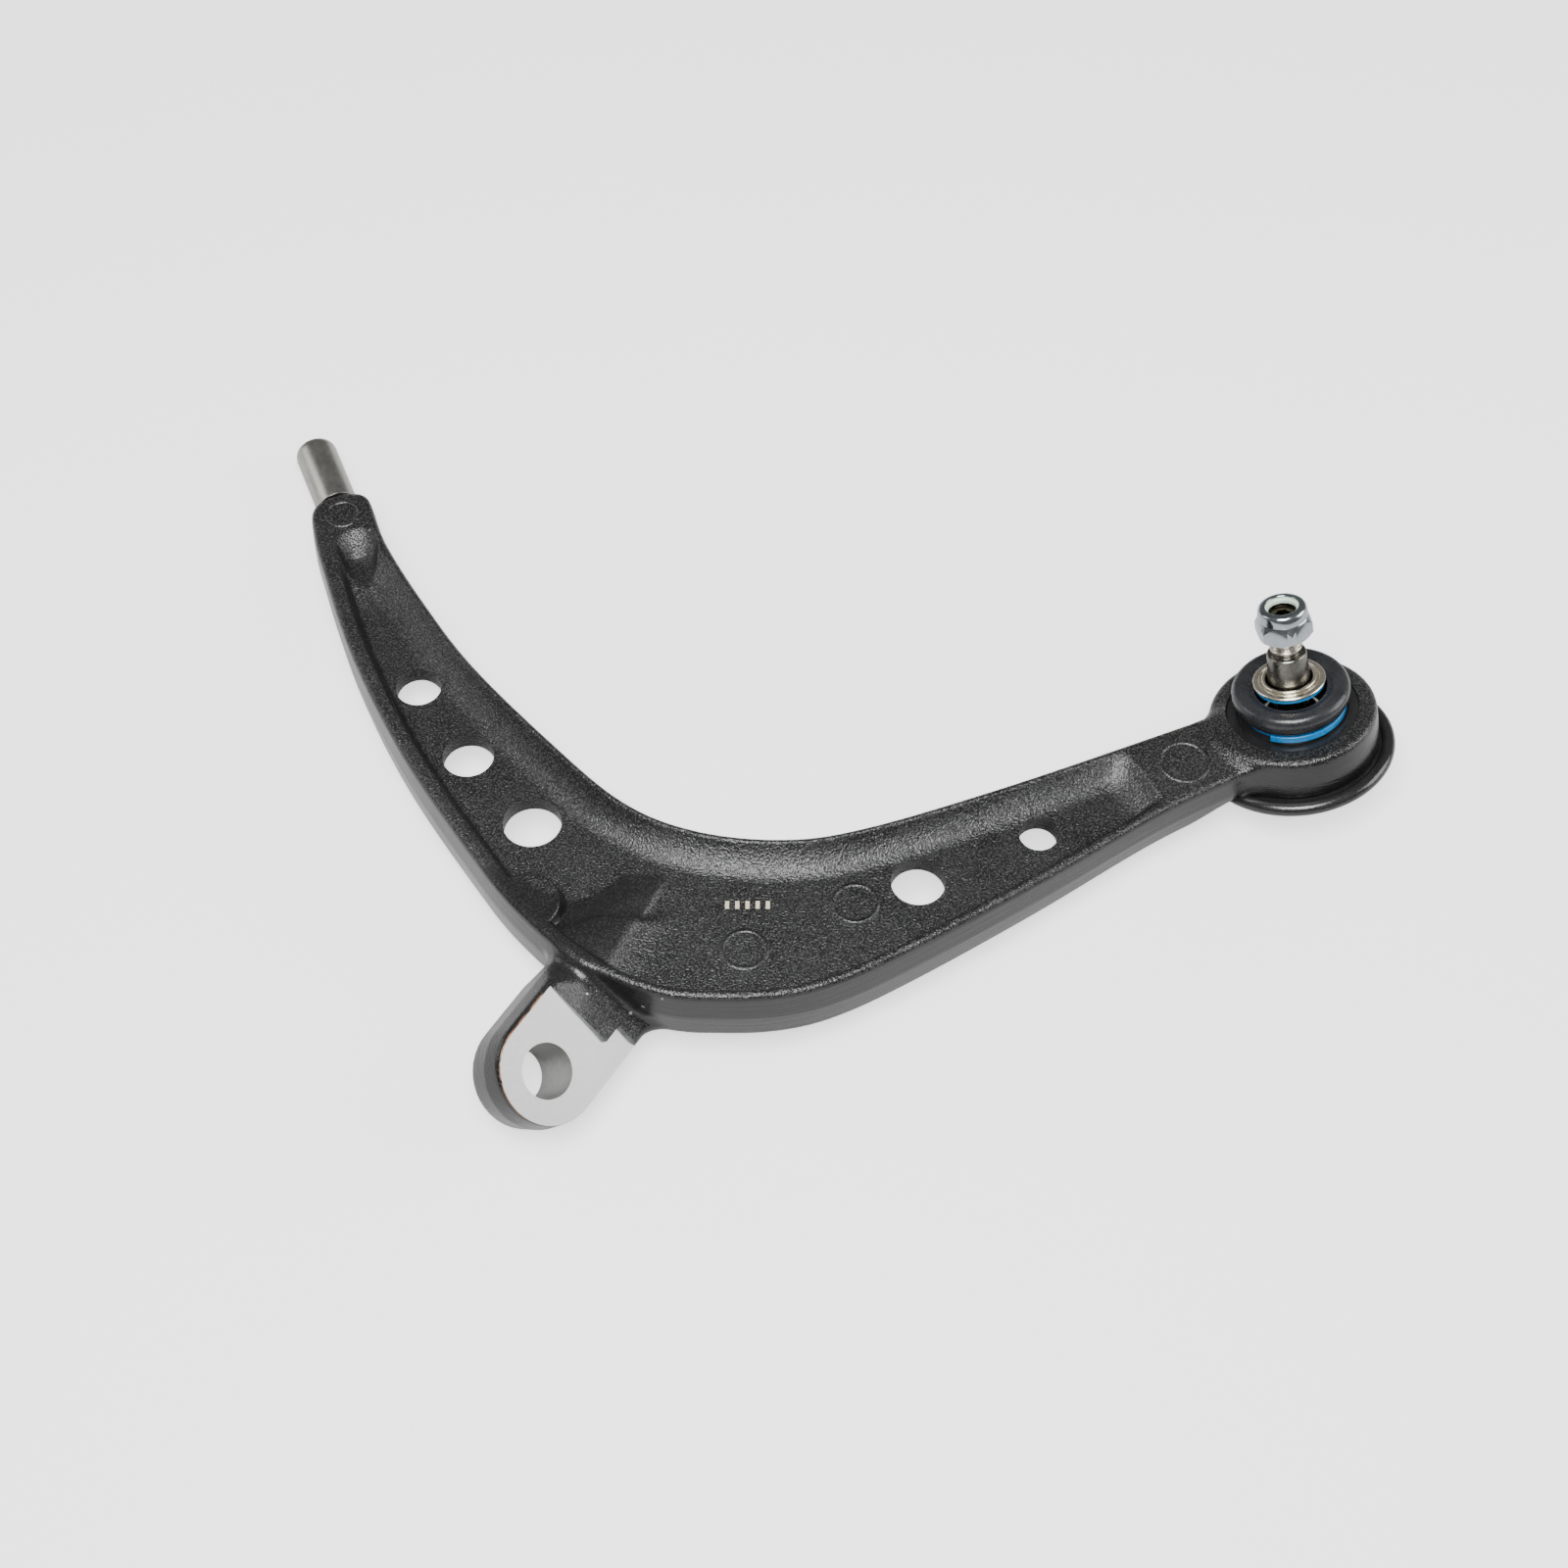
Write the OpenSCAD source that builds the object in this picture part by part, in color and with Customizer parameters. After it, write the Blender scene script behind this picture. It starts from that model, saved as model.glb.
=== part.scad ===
// Front suspension control arm: an L-shaped ribbed casting with a press-fit ball
// joint at the wheel end, a ground bush pin at the rear and a milled lug between.
//
// Frame: X runs from the lug to the ball joint, Y towards the rear bush pin and
// Z is up. The origin lies on the lug bore's axis, in the casting's mid-plane.
// All sizes are in millimetres and all angles in degrees.

/* [Overall] */
// From the lug bore to the ball joint, along X
span_x = 275; // [230:1:330]
// From the lug bore to the root of the rear pin, along Y
span_y = 265; // [220:1:320]
// Height of the casting's rims above its mid-plane
rim_top = 11.5; // [9.5:0.5:14]
// Depth of the casting's rims below its mid-plane
rim_bottom = 13.5; // [9.5:0.5:16]

/* [Ribbed plate] */
// Thickness of the web between the rims
web = 6.5; // [4:0.5:12]
// Width of the rim along the outer, convex edge
outer_rim = 5.5; // [3:0.5:9]
// Width of the rim along the inner, concave edge
inner_rim = 8; // [3:0.5:10]
// Diameter of the lightening hole nearest the rear pin
hole_d1 = 17.5; // [8:0.5:20]
// Diameter of the next hole along the rear limb
hole_d2 = 19.5; // [8:0.5:22]
// Diameter of the hole in the bend
hole_d3 = 22; // [8:0.5:24]
// Diameter of the larger hole in the front limb
hole_d4 = 20; // [8:0.5:23]
// Diameter of the lightening hole nearest the ball joint
hole_d5 = 14.5; // [8:0.5:18]

/* [Rear pin] */
// Diameter of the ground seat for the rear bush
pin_d = 17; // [14:0.5:21]
// Length of the ground seat that stands out of the neck
pin_length = 35; // [25:1:50]
// Diameter of the shank that is pressed into the neck
shank_d = 12; // [8:0.5:13]
// Length of the shank
shank_length = 26; // [15:1:30]
// Width of the neck that holds the shank
neck_w = 25; // [20:0.5:32]

/* [Lug] */
// Diameter of the bore for the inner joint
lug_bore = 20; // [12:0.5:26]
// Width of the lug, which is also the diameter of its round end
lug_w = 40; // [36:0.5:48]
// Thickness of the lug at its milled face
lug_t = 22; // [14:0.5:26]
// Roll of the lug about its own length
lug_roll = 41; // [30:1:50]

/* [Ball joint] */
// Lean of the joint's axis away from Z
joint_tilt = 15.2; // [0:0.1:20]
// Diameter of the ball
ball_d = 25; // [20:0.5:30]
// Wall of the plastic shell round the ball
shell_wall = 4.5; // [3.5:0.5:6]
// Wall of the steel housing round the shell
housing_wall = 8; // [7.5:0.5:10]
// Wall of the casting's boss, into which the housing is pressed
boss_wall = 6.8; // [5:0.2:10]
// Height of the boss along the joint's axis
boss_h = 18.6; // [16:0.5:24]
// How far the housing's rolled flange stands out beyond the boss
flange_lip = 5.7; // [5.4:0.1:9]
// Lean of the stud at rest, measured from the joint's axis
stud_lean = 5.2; // [0:0.1:8]
// Gap between a running surface and the one it runs in
running_gap = 0.05; // [0.02:0.01:0.1]

/* [Stud and nut] */
// Large diameter of the taper, at the boot washer
taper_d = 15.9; // [14.9:0.1:20]
// Small diameter of the taper, at the thread
taper_small_d = 14.8; // [12.5:0.1:15.8]
// Length of the taper
taper_length = 12; // [10:0.5:20]
// Outer diameter of the thread
thread_d = 12; // [10:1:12]
// Thread that stays free between the taper and the nut
thread_free = 8.1; // [2:0.1:12]
// Width of the nut across its flats
nut_flats = 19; // [17:0.5:22]
// Height of the whole nut, collar included
nut_h = 13; // [10:0.5:16]

/* [Hidden] */
$fn = 96;
eps = 0.01;

// The two edges of the plate are drawn for this span, then stretched to the real one.
drawn_span = [275, 265];
stretch = [span_x / drawn_span[0], span_y / drawn_span[1]];
function placed(p) = [p[0] * stretch[0], p[1] * stretch[1]];

// Smooth curve through a list of points: four cubic steps between neighbours.
curve_steps = 4;
function between(a, b, c, d, t) =
    0.5 * (2 * b + (c - a) * t + (2 * a - 5 * b + 4 * c - d) * t * t
           + (3 * b - a - 3 * c + d) * t * t * t);
function curve(p) = let (n = len(p) - 1) [
    for (i = [0 : n - 1], s = [0 : curve_steps - 1])
        between(p[max(i - 1, 0)], p[i], p[i + 1], p[min(i + 2, n)], s / curve_steps),
    p[n]];
// The same curve moved sideways by d, to the left of its direction of travel.
function beside(p, d) = let (n = len(p) - 1) [
    for (i = [0 : n])
        let (v = p[min(i + 1, n)] - p[max(i - 1, 0)])
            p[i] + d * [-v[1], v[0]] / norm(v)];
function reversed(p) = [for (i = [len(p) - 1 : -1 : 0]) p[i]];
function part_of(p, first, last) = [for (i = [first : last]) p[i]];

// Concave edge, from the neck round to the boss.
inner_points = [for (p = [[-84, 258], [-76, 237], [-57.5, 204.5], [-37.5, 174.5],
    [-7.5, 139.5], [22.5, 109.5], [50, 96], [82.5, 92], [112.5, 97.3], [162, 115.5],
    [222.5, 141], [239, 150], [250, 165]]) placed(p)];
// Convex edge, from the neck past the lug to the boss.
outer_points = [for (p = [[-108, 250], [-102.5, 229], [-85.2, 179.7], [-62, 131.8],
    [-33.5, 86.6], [-14, 60], [10, 37.5], [38, 24.5], [60, 22.2], [82.5, 23.5],
    [103.5, 30], [132, 45.5], [176, 73], [222, 104], [254, 121.5]]) placed(p)];
inner_edge = curve(inner_points);
outer_edge = curve(outer_points);
// The pockets run between these points of the two curved edges.
pocket_first = 4;
pocket_last_inner = 39;
pocket_last_outer = 51;

web_half = web / 2;
plate_h = rim_top + rim_bottom;
// Both faces of the plate run down to this height at the two ends.
end_top = rim_top - 2;
end_bottom = rim_bottom - 3;
over = 40;
// Flat land beside the lug's root, left at the height of the rims.
land_place = placed([-7.5, 66.5]);
land_r = 13;
// The end slopes start here and fall over this length.
slope_start = placed([110, 150]);
slope_run = 120;

lightening_holes = [[[-58.5, 168.5], hole_d1], [[-37, 135.3], hole_d2],
    [[-11, 104.3], hole_d3], [[131.5, 77.5], hole_d4], [[176.7, 98.9], hole_d5]];

// Neck and rear pin: the pin lies in the mid-plane.
pin_root = placed([-99.8, 265]);
pin_turn = 112;
neck_length = 20;
neck_end_r = 17;
pin_chamfer = 1.5;

// Lug: its length points back to the arm, and its milled face is rolled about it.
lug_turn = 57.7;
lug_r = lug_w / 2;
lug_end_shift = 1.3;
lug_reach = 34;
shoulder_x = 23.3;
notch_x = 31;
notch_y = -10;
root_reach = 24;
root_top = web_half + 2;
gusset_reach = 77;
gusset_top = rim_top - 3;

// Ball joint: the housing's rim lies in the boss's top face, and the ball
// centre lies below it on the joint's axis.
joint_place = placed([275.3, 151.6]);
joint_rim_z = 12;
joint_turn = 136.2;
ball_r = ball_d / 2;
ball_depth = ball_r - 3.5;
shell_r = ball_r + shell_wall;
housing_r = shell_r + housing_wall;
boss_r = housing_r + boss_wall;
flange_r = boss_r + flange_lip;
rim_z = ball_depth;
boss_bottom_z = rim_z - boss_h;
flange_t = 2.2;
flange_z = boss_bottom_z - flange_t;
roll_r = 2.7;
roll_x = flange_r - roll_r;
roll_z = boss_bottom_z - 1.2;
// Shell round the ball: it is open at the top for the stud's whole cone.
shell_bottom = -ball_r - 2.1;
mouth_angle = 57.5;
shell_top = (ball_r + running_gap) * cos(mouth_angle) + 0.2;
pad_t = 1.6;
pad_bottom = shell_bottom - pad_t;
cover_t = 1.8;
cover_r = shell_r + 1.3;
cover_bottom = pad_bottom - cover_t;
crimp_t = 1.2;
barrel_r = shell_r + 4;
// Neck of the housing, which the boot's lower collar grips.
grip_r = shell_r + 0.6;
grip_top = rim_z + 3;
grip_inner = grip_r - 2.6;
groove_r = housing_r - 4.3;
groove_z = rim_z - 1.5;
boot_gap = 0.1;
collar_t = 1.4;
collar_r = grip_r + boot_gap + collar_t;
lower_ring_z = rim_z + 0.4;
lower_ring_h = 2.8;
lower_ring_r = collar_r + boot_gap + 1.2;

// Direction in which the stud leans at rest, about the joint's axis.
lean_turn = -41;
// Stud, measured from the ball's centre along its own axis.
neck_r = ball_r * 0.52;
seat_bottom = rim_z + 9.2;
washer_top = rim_z + 13.6;
taper_end = washer_top + taper_length + 0.4;
nut_bottom = taper_end + thread_free;
nut_top = nut_bottom + nut_h;
stud_end = nut_top - 4;
undercut = 1;
socket_depth = 4;
socket_flats = 5;
// Nut: a hexagon chamfered at both ends, and a round collar that holds the insert.
collar_h = 3.4;
collar_d = nut_flats - 0.6;
nut_across = nut_flats / cos(30);
chamfer_low = nut_flats / 2 - 0.2;
chamfer_high = nut_flats / 2 - 2.5;
chamfer_slope = 0.75;
insert_r = thread_d / 2 + 1.6;
insert_inner = thread_d / 2 - 0.8;
recess_z = nut_top - collar_h + 0.4;
insert_h = nut_top - recess_z - 0.6;
// Boot, cap ring and washer.
washer_t = 1.2;
washer_hole = taper_d / 2 + 0.65;
washer_r = washer_hole + 5.2;
washer_lip_r = washer_hole + 1.9;
washer_lip = 0.8;
upper_ring_h = 1.9;
upper_ring_z = washer_top - washer_t - upper_ring_h - 0.1;
upper_ring_r = washer_r - 0.3;
upper_ring_t = 1.2;
bulge_r = max(lower_ring_r + 2.1, upper_ring_r + 9.1);

module at_lug() rotate([lug_roll, 0, lug_turn]) children();

module at_pin() translate(pin_root) rotate([0, 0, pin_turn]) children();

// The origin here is the ball's centre.
module at_joint()
    translate([joint_place[0], joint_place[1], joint_rim_z])
        rotate([0, joint_tilt, joint_turn]) translate([0, 0, -ball_depth]) children();

module at_stud() at_joint() rotate([0, stud_lean, lean_turn]) children();

module plate_outline() polygon(concat(inner_edge,
    [joint_place + [0, 12], joint_place - [0, 12]], reversed(outer_edge)));

module pocket_outline() {
    near = beside(part_of(inner_edge, pocket_first, pocket_last_inner), -inner_rim);
    far = beside(part_of(outer_edge, pocket_first, pocket_last_outer), outer_rim);
    near_end = near[len(near) - 1];
    far_end = far[len(far) - 1];
    difference() {
        union() {
            polygon(concat(near, reversed(far)));
            // Round end before the boss.
            translate((near_end + far_end) / 2) circle(norm(near_end - far_end) / 2);
        }
        translate(land_place) circle(land_r);
    }
}

// Casting's two faces slope towards both ends: a wedge taken off each.
module end_slopes(top_z, end_z) {
    fall = atan((top_z - end_z) / slope_run);
    translate([slope_start[0], 0, top_z]) rotate([0, fall, 0])
        translate([0, -over, 0]) cube([span_x, span_y + 4 * over, over]);
    translate([0, slope_start[1], top_z]) rotate([-fall, 0, 0])
        translate([-span_x, 0, 0]) cube([span_x + slope_start[0] / 2, span_y, over]);
}

module neck() at_pin() intersection() {
    translate([-neck_length, -neck_w / 2, -end_bottom])
        cube([neck_length, neck_w, end_top + end_bottom]);
    translate([-neck_end_r, 0, -over]) cylinder(h = 2 * over, r = neck_end_r);
}

module lug() {
    at_lug() {
        translate([lug_end_shift, 0, -lug_t]) cylinder(h = lug_t, r = lug_r);
        translate([lug_end_shift, -lug_r, -lug_t]) cube([lug_reach, lug_w, lug_t]);
    }
    // Rough root behind the milled face, lower than the rims.
    intersection() {
        at_lug() translate([shoulder_x, notch_y, -lug_t])
            cube([root_reach, lug_r - notch_y, lug_t + over]);
        translate([-over, 0, -over]) cube([3 * over, 2 * over, over + root_top]);
    }
}

// The lug carries on across the web as a low gusset.
module gusset() intersection() {
    translate([0, 0, -web_half]) linear_extrude(gusset_top + web_half) plate_outline();
    at_lug() translate([0, -lug_r, -2 * over]) cube([gusset_reach, lug_w * 1.5, 2 * over]);
}

module milled_faces() at_lug() {
    translate([-over, -over, 0]) cube([over + shoulder_x, 2 * over, over]);
    translate([0, notch_y - over, 0]) cube([notch_x, over, over]);
}

module arm_body() color([0.07, 0.07, 0.08]) difference() {
    union() {
        difference() {
            translate([0, 0, -rim_bottom]) linear_extrude(plate_h) plate_outline();
            translate([0, 0, web_half]) linear_extrude(over) pocket_outline();
            translate([0, 0, -web_half - over]) linear_extrude(over) pocket_outline();
            end_slopes(rim_top, end_top);
            mirror([0, 0, 1]) end_slopes(rim_bottom, end_bottom);
        }
        neck();
        gusset();
        lug();
        at_joint() translate([0, 0, boss_bottom_z]) cylinder(h = boss_h, r = boss_r);
    }
    milled_faces();
    at_lug() translate([0, 0, -lug_t - over]) cylinder(h = lug_t + 2 * over, d = lug_bore);
    at_pin() translate([-shank_length - eps, 0, 0]) rotate([0, 90, 0])
        cylinder(h = shank_length + over, d = shank_d);
    at_joint() {
        translate([0, 0, -over]) cylinder(h = 2 * over, r = housing_r);
        translate([0, 0, rim_z]) cylinder(h = over, r = boss_r);
        translate([0, 0, boss_bottom_z - over]) cylinder(h = over, r = flange_r + 1);
        // Room round the boss for the flange's rolled edge.
        translate([0, 0, boss_bottom_z]) tube(roll_z + roll_r + 0.4 - boss_bottom_z, flange_r + 1, boss_r);
    }
    for (hole = lightening_holes) translate(placed(hole[0]))
        cylinder(h = 2 * over, d = hole[1], center = true);
}

module rear_pin() color([0.62, 0.62, 0.6]) at_pin() rotate([0, 90, 0]) {
    translate([0, 0, -shank_length]) cylinder(h = shank_length + eps, d = shank_d);
    cylinder(h = pin_length - pin_chamfer, d = pin_d);
    translate([0, 0, pin_length - pin_chamfer])
        cylinder(h = pin_chamfer, d1 = pin_d, d2 = pin_d - 2 * pin_chamfer);
}

// Pressed cup: a rim in the boss's top face, a neck that the boot grips, a
// flange with a rolled edge under the boss and a barrel crimped over the cover.
module joint_housing() color([0.12, 0.12, 0.13]) at_joint() {
    rotate_extrude() polygon([
        [shell_r, pad_bottom], [shell_r, shell_top], [mouth_r(shell_top), shell_top],
        [grip_inner, grip_top], [grip_r, grip_top], [grip_r, groove_z],
        [groove_r, groove_z], [groove_r, rim_z], [housing_r, rim_z],
        [housing_r, boss_bottom_z], [roll_x, boss_bottom_z], [roll_x, flange_z],
        [barrel_r, flange_z], [barrel_r, cover_bottom - crimp_t],
        [cover_r - 1.5, cover_bottom - crimp_t], [cover_r - 1.5, cover_bottom],
        [cover_r, cover_bottom], [cover_r, pad_bottom]]);
    rotate_extrude() translate([roll_x, roll_z]) circle(roll_r);
}

// Radius of the open mouth at a height above the ball's centre.
function mouth_r(z) = z * tan(mouth_angle) + 0.3;

module bearing_shell() color([0.9, 0.88, 0.8]) at_joint() difference() {
    translate([0, 0, shell_bottom]) cylinder(h = shell_top - shell_bottom, r = shell_r);
    sphere(ball_r + running_gap);
    cylinder(h = ball_r, r1 = 0, r2 = ball_r * tan(mouth_angle));
}

module pressure_pad() color([0.2, 0.2, 0.2]) at_joint()
    translate([0, 0, pad_bottom]) cylinder(h = pad_t, r = shell_r - 0.5);

module closing_cover() color([0.55, 0.55, 0.57]) at_joint()
    translate([0, 0, cover_bottom]) cylinder(h = cover_t, r = cover_r);

module ball_stud() color([0.5, 0.48, 0.46]) at_stud() difference() {
    union() {
        difference() {
            sphere(ball_r);
            translate([0, 0, -ball_r - over + 1.5]) cylinder(h = over, r = ball_r);
        }
        rotate_extrude() polygon([
            [0, 0], [neck_r, ball_r * 0.6], [neck_r, ball_r + 2.5], [taper_d / 2, seat_bottom],
            [taper_d / 2, washer_top + 0.4], [taper_small_d / 2, taper_end],
            [thread_d / 2 - undercut, taper_end], [thread_d / 2 - undercut, taper_end + undercut],
            [thread_d / 2, taper_end + 2 * undercut], [thread_d / 2, stud_end - 1],
            [thread_d / 2 - 1, stud_end], [0, stud_end]]);
    }
    translate([0, 0, stud_end - socket_depth])
        cylinder(h = over, d = socket_flats / cos(30), $fn = 6);
}

// Rubber ring: a collar in the housing's groove, and a bulge open round the cap.
module dust_boot() color([0.16, 0.16, 0.17]) at_joint() rotate_extrude() polygon([
    [grip_r + boot_gap, groove_z + boot_gap], [collar_r, groove_z + boot_gap],
    [collar_r, rim_z + 4], [bulge_r - 1.6, rim_z + 4.6], [bulge_r - 0.4, rim_z + 6.5],
    [bulge_r, rim_z + 8.6], [bulge_r - 0.6, rim_z + 10.8], [bulge_r - 2.2, rim_z + 12.4],
    [bulge_r - 4, rim_z + 12.7], [bulge_r - 5.6, rim_z + 12], [bulge_r - 6.4, rim_z + 11.2],
    [bulge_r - 6.4, rim_z + 9.4], [bulge_r - 3.8, rim_z + 10.3], [bulge_r - 2.7, rim_z + 9.4],
    [bulge_r - 2.3, rim_z + 8], [bulge_r - 3, rim_z + 6], [grip_r + boot_gap, rim_z + 5.2]]);

module lower_boot_ring() color([0.08, 0.43, 0.67]) at_joint()
    translate([0, 0, lower_ring_z]) tube(lower_ring_h, lower_ring_r, collar_r + boot_gap);

module upper_boot_ring() color([0.08, 0.43, 0.67]) at_stud()
    translate([0, 0, upper_ring_z]) tube(upper_ring_h, upper_ring_r, upper_ring_r - upper_ring_t);

module boot_washer() color([0.85, 0.82, 0.72]) at_stud() {
    translate([0, 0, washer_top - washer_t]) tube(washer_t, washer_r, washer_hole);
    translate([0, 0, washer_top]) tube(washer_lip, washer_lip_r, washer_hole);
}

module tube(h, r_out, r_in) difference() {
    cylinder(h = h, r = r_out);
    translate([0, 0, -eps]) cylinder(h = h + 2 * eps, r = r_in);
}

module lock_nut() color([0.8, 0.83, 0.86]) at_stud() difference() {
    translate([0, 0, nut_bottom]) {
        intersection() {
            cylinder(h = nut_h - collar_h, d = nut_across, $fn = 6);
            cylinder(h = nut_h, r1 = chamfer_low, r2 = chamfer_low + nut_h);
            cylinder(h = nut_h, r1 = chamfer_high + chamfer_slope * nut_h, r2 = chamfer_high);
        }
        cylinder(h = nut_h, d = collar_d);
    }
    translate([0, 0, nut_bottom - eps]) cylinder(h = nut_h + 1, r = thread_d / 2 + running_gap);
    translate([0, 0, recess_z]) cylinder(h = nut_h, r = insert_r + running_gap);
}

// The insert sits in the nut's collar, above the end of the stud.
module nylon_insert() color([0.85, 0.9, 0.82]) at_stud()
    translate([0, 0, recess_z + running_gap]) tube(insert_h, insert_r, insert_inner);

arm_body();
rear_pin();
joint_housing();
bearing_shell();
pressure_pad();
closing_cover();
ball_stud();
dust_boot();
lower_boot_ring();
upper_boot_ring();
boot_washer();
lock_nut();
nylon_insert();
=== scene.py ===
"""Front suspension control arm: a ribbed casting with a ball joint, a bush pin and a milled lug."""

import bpy
import numpy as np
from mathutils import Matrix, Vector


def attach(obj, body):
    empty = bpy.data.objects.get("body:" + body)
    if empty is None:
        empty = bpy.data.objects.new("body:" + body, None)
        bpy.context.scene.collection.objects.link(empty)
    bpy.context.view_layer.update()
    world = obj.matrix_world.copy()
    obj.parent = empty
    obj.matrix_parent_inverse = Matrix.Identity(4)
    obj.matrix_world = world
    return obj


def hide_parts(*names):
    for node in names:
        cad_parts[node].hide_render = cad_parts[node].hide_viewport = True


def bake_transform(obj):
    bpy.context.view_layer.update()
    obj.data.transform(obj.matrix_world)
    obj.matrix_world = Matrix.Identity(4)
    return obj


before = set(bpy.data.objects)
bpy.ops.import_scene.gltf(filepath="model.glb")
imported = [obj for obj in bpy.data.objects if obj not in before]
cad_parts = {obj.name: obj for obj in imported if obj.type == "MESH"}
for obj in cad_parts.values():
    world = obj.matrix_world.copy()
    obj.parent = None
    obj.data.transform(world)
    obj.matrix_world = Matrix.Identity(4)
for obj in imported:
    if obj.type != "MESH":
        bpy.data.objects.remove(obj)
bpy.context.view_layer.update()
MM = 0.001


# ---- Camera and lamps ----
# The arm lies on a pale table, seen from its outer side and from well above,
# under one large lamp and two low ones at its sides.
def aim(thing, target):
    """Turns a lamp or camera so that its -Z axis points at the target."""
    thing.rotation_euler = (Vector(target) - thing.location).to_track_quat("-Z", "Y").to_euler()


def soft_lamp(name, place, target, size, power):
    """Square white area lamp at a place, aimed at a target."""
    lamp = bpy.data.lights.new(name, "AREA")
    lamp.size, lamp.energy = size, power
    obj = bpy.data.objects.new(name, lamp)
    obj.location = place
    bpy.context.collection.objects.link(obj)
    aim(obj, target)


camera_elevation = np.radians(53.5)
camera_distance = 0.985
look_at = Vector((0.0825, 0.1245, 0.0))
camera_data = bpy.data.cameras.new("camera")
camera_data.lens, camera_data.sensor_width = 60.0, 36.0
camera = bpy.data.objects.new("camera", camera_data)
camera.location = look_at + camera_distance * Vector(
    (0.0, -np.cos(camera_elevation), np.sin(camera_elevation)))
camera.rotation_euler = (np.pi / 2 - camera_elevation, 0.0, 0.0)
bpy.context.collection.objects.link(camera)
bpy.context.scene.camera = camera

overhead_distance, side_lamp_distance = 1.3, 1.5
overhead_way, right_way, left_way = (-0.08, -0.36, 0.92), (0.9, 0.05, 0.45), (-0.88, 0.3, 0.4)
soft_lamp("overhead_lamp", look_at + overhead_distance * Vector(overhead_way), look_at, size=0.75, power=42)
soft_lamp("right_lamp", look_at + side_lamp_distance * Vector(right_way), look_at, size=0.9, power=15)
soft_lamp("left_lamp", look_at + side_lamp_distance * Vector(left_way), look_at, size=0.7, power=4)


# ---- Casting ----
# One iron casting, coated black after the lug's face, notch and bore were
# milled. Two ribs follow its edges round a thin web with five holes; a boss
# takes the ball joint, a neck the rear pin, and a rolled lug the inner joint.
def turn_z(a):
    """Rotation matrix about Z, degrees."""
    c, s = np.cos(np.radians(a)), np.sin(np.radians(a))
    return np.array([[c, -s, 0], [s, c, 0], [0, 0, 1.0]])


def turn_y(a):
    """Rotation matrix about Y, degrees."""
    c, s = np.cos(np.radians(a)), np.sin(np.radians(a))
    return np.array([[c, 0, s], [0, 1.0, 0], [-s, 0, c]])


def turn_x(a):
    """Rotation matrix about X, degrees."""
    c, s = np.cos(np.radians(a)), np.sin(np.radians(a))
    return np.array([[1.0, 0, 0], [0, c, -s], [0, s, c]])


def smax(a, b, k):
    """Smooth maximum: the larger of two values, blended over a width k by a quadratic."""
    h = np.maximum(k - np.abs(a - b), 0.0) / k
    return np.maximum(a, b) + h * h * k * 0.25


def smin(a, b, k):
    """Smooth minimum, the mirror of the smooth maximum."""
    return -smax(-a, -b, k)


def ramp(lo, hi, x):
    """Smooth step: 0 below lo, 1 above hi, and a cubic between them."""
    t = np.clip((x - lo) / (hi - lo), 0.0, 1.0)
    return t * t * (3 - 2 * t)


# Joint, lug and pin frames, in mm, as the solids have them.
rim_top, rim_bottom, web_half = 11.5, 13.5, 3.25
joint_turned = turn_z(136.2) @ turn_y(15.2)
ball_centre = np.array([275.3, 151.6, 12.0]) + joint_turned @ np.array([0, 0, -9.0])
stud_turned = joint_turned @ turn_z(-41) @ turn_y(5.2)
rim_z, boss_bottom_z = 9.0, -9.6
boss_r, housing_r = 31.8, 25.0
lug_turned = turn_z(57.7) @ turn_x(41)
pin_turned = turn_z(112)
pin_root = np.array([-99.8, 265.0, 0.0])

inner_points = np.array([[-92, 279], [-84, 258], [-76, 237], [-57.5, 204.5], [-37.5, 174.5],
    [-7.5, 139.5], [22.5, 109.5], [50, 96], [82.5, 92], [112.5, 97.3], [162, 115.5],
    [222.5, 141], [239, 148], [262, 158]], float)
outer_points = np.array([[-113, 271], [-108, 250], [-102.5, 229], [-85.2, 179.7], [-62, 131.8],
    [-33.5, 86.6], [-14, 60], [10, 37.5], [38, 24.5], [60, 22.2], [82.5, 23.5],
    [103.5, 30], [132, 45.5], [176, 73], [222, 104], [254, 121.5], [275, 130]], float)


def curve(p, steps):
    """Smooth curve through the points: a cubic between neighbours, sampled at equal steps."""
    q = np.vstack([2 * p[0] - p[1], p, 2 * p[-1] - p[-2]])
    t = (np.arange(steps) / steps)[None, :, None]
    a, b, c, d = (q[i:len(q) - 3 + i, None, :] for i in range(4))
    s = 0.5 * (2 * b + (c - a) * t + (2 * a - 5 * b + 4 * c - d) * t ** 2
               + (3 * b - a - 3 * c + d) * t ** 3)
    return np.vstack([s.reshape(-1, 2), p[-1:]])


def side_distance(xy, line):
    """Signed distance of points to an open line, positive on its left, nearest segment first."""
    out = np.empty(len(xy), np.float32)
    a = line[:-1].astype(np.float32)
    v = (line[1:] - line[:-1]).astype(np.float32)
    vv = (v * v).sum(1)
    for first in range(0, len(xy), 20000):
        p = xy[first:first + 20000, None, :].astype(np.float32) - a[None]
        t = np.clip((p * v[None]).sum(2) / vv, 0, 1)
        d = p - t[..., None] * v[None]
        dd = (d * d).sum(2)
        k = dd.argmin(1)
        rows = np.arange(len(k))
        side = v[k, 0] * p[rows, k, 1] - v[k, 1] * p[rows, k, 0]
        out[first:first + 20000] = np.sqrt(dd[rows, k]) * np.sign(side)
    return out


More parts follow.
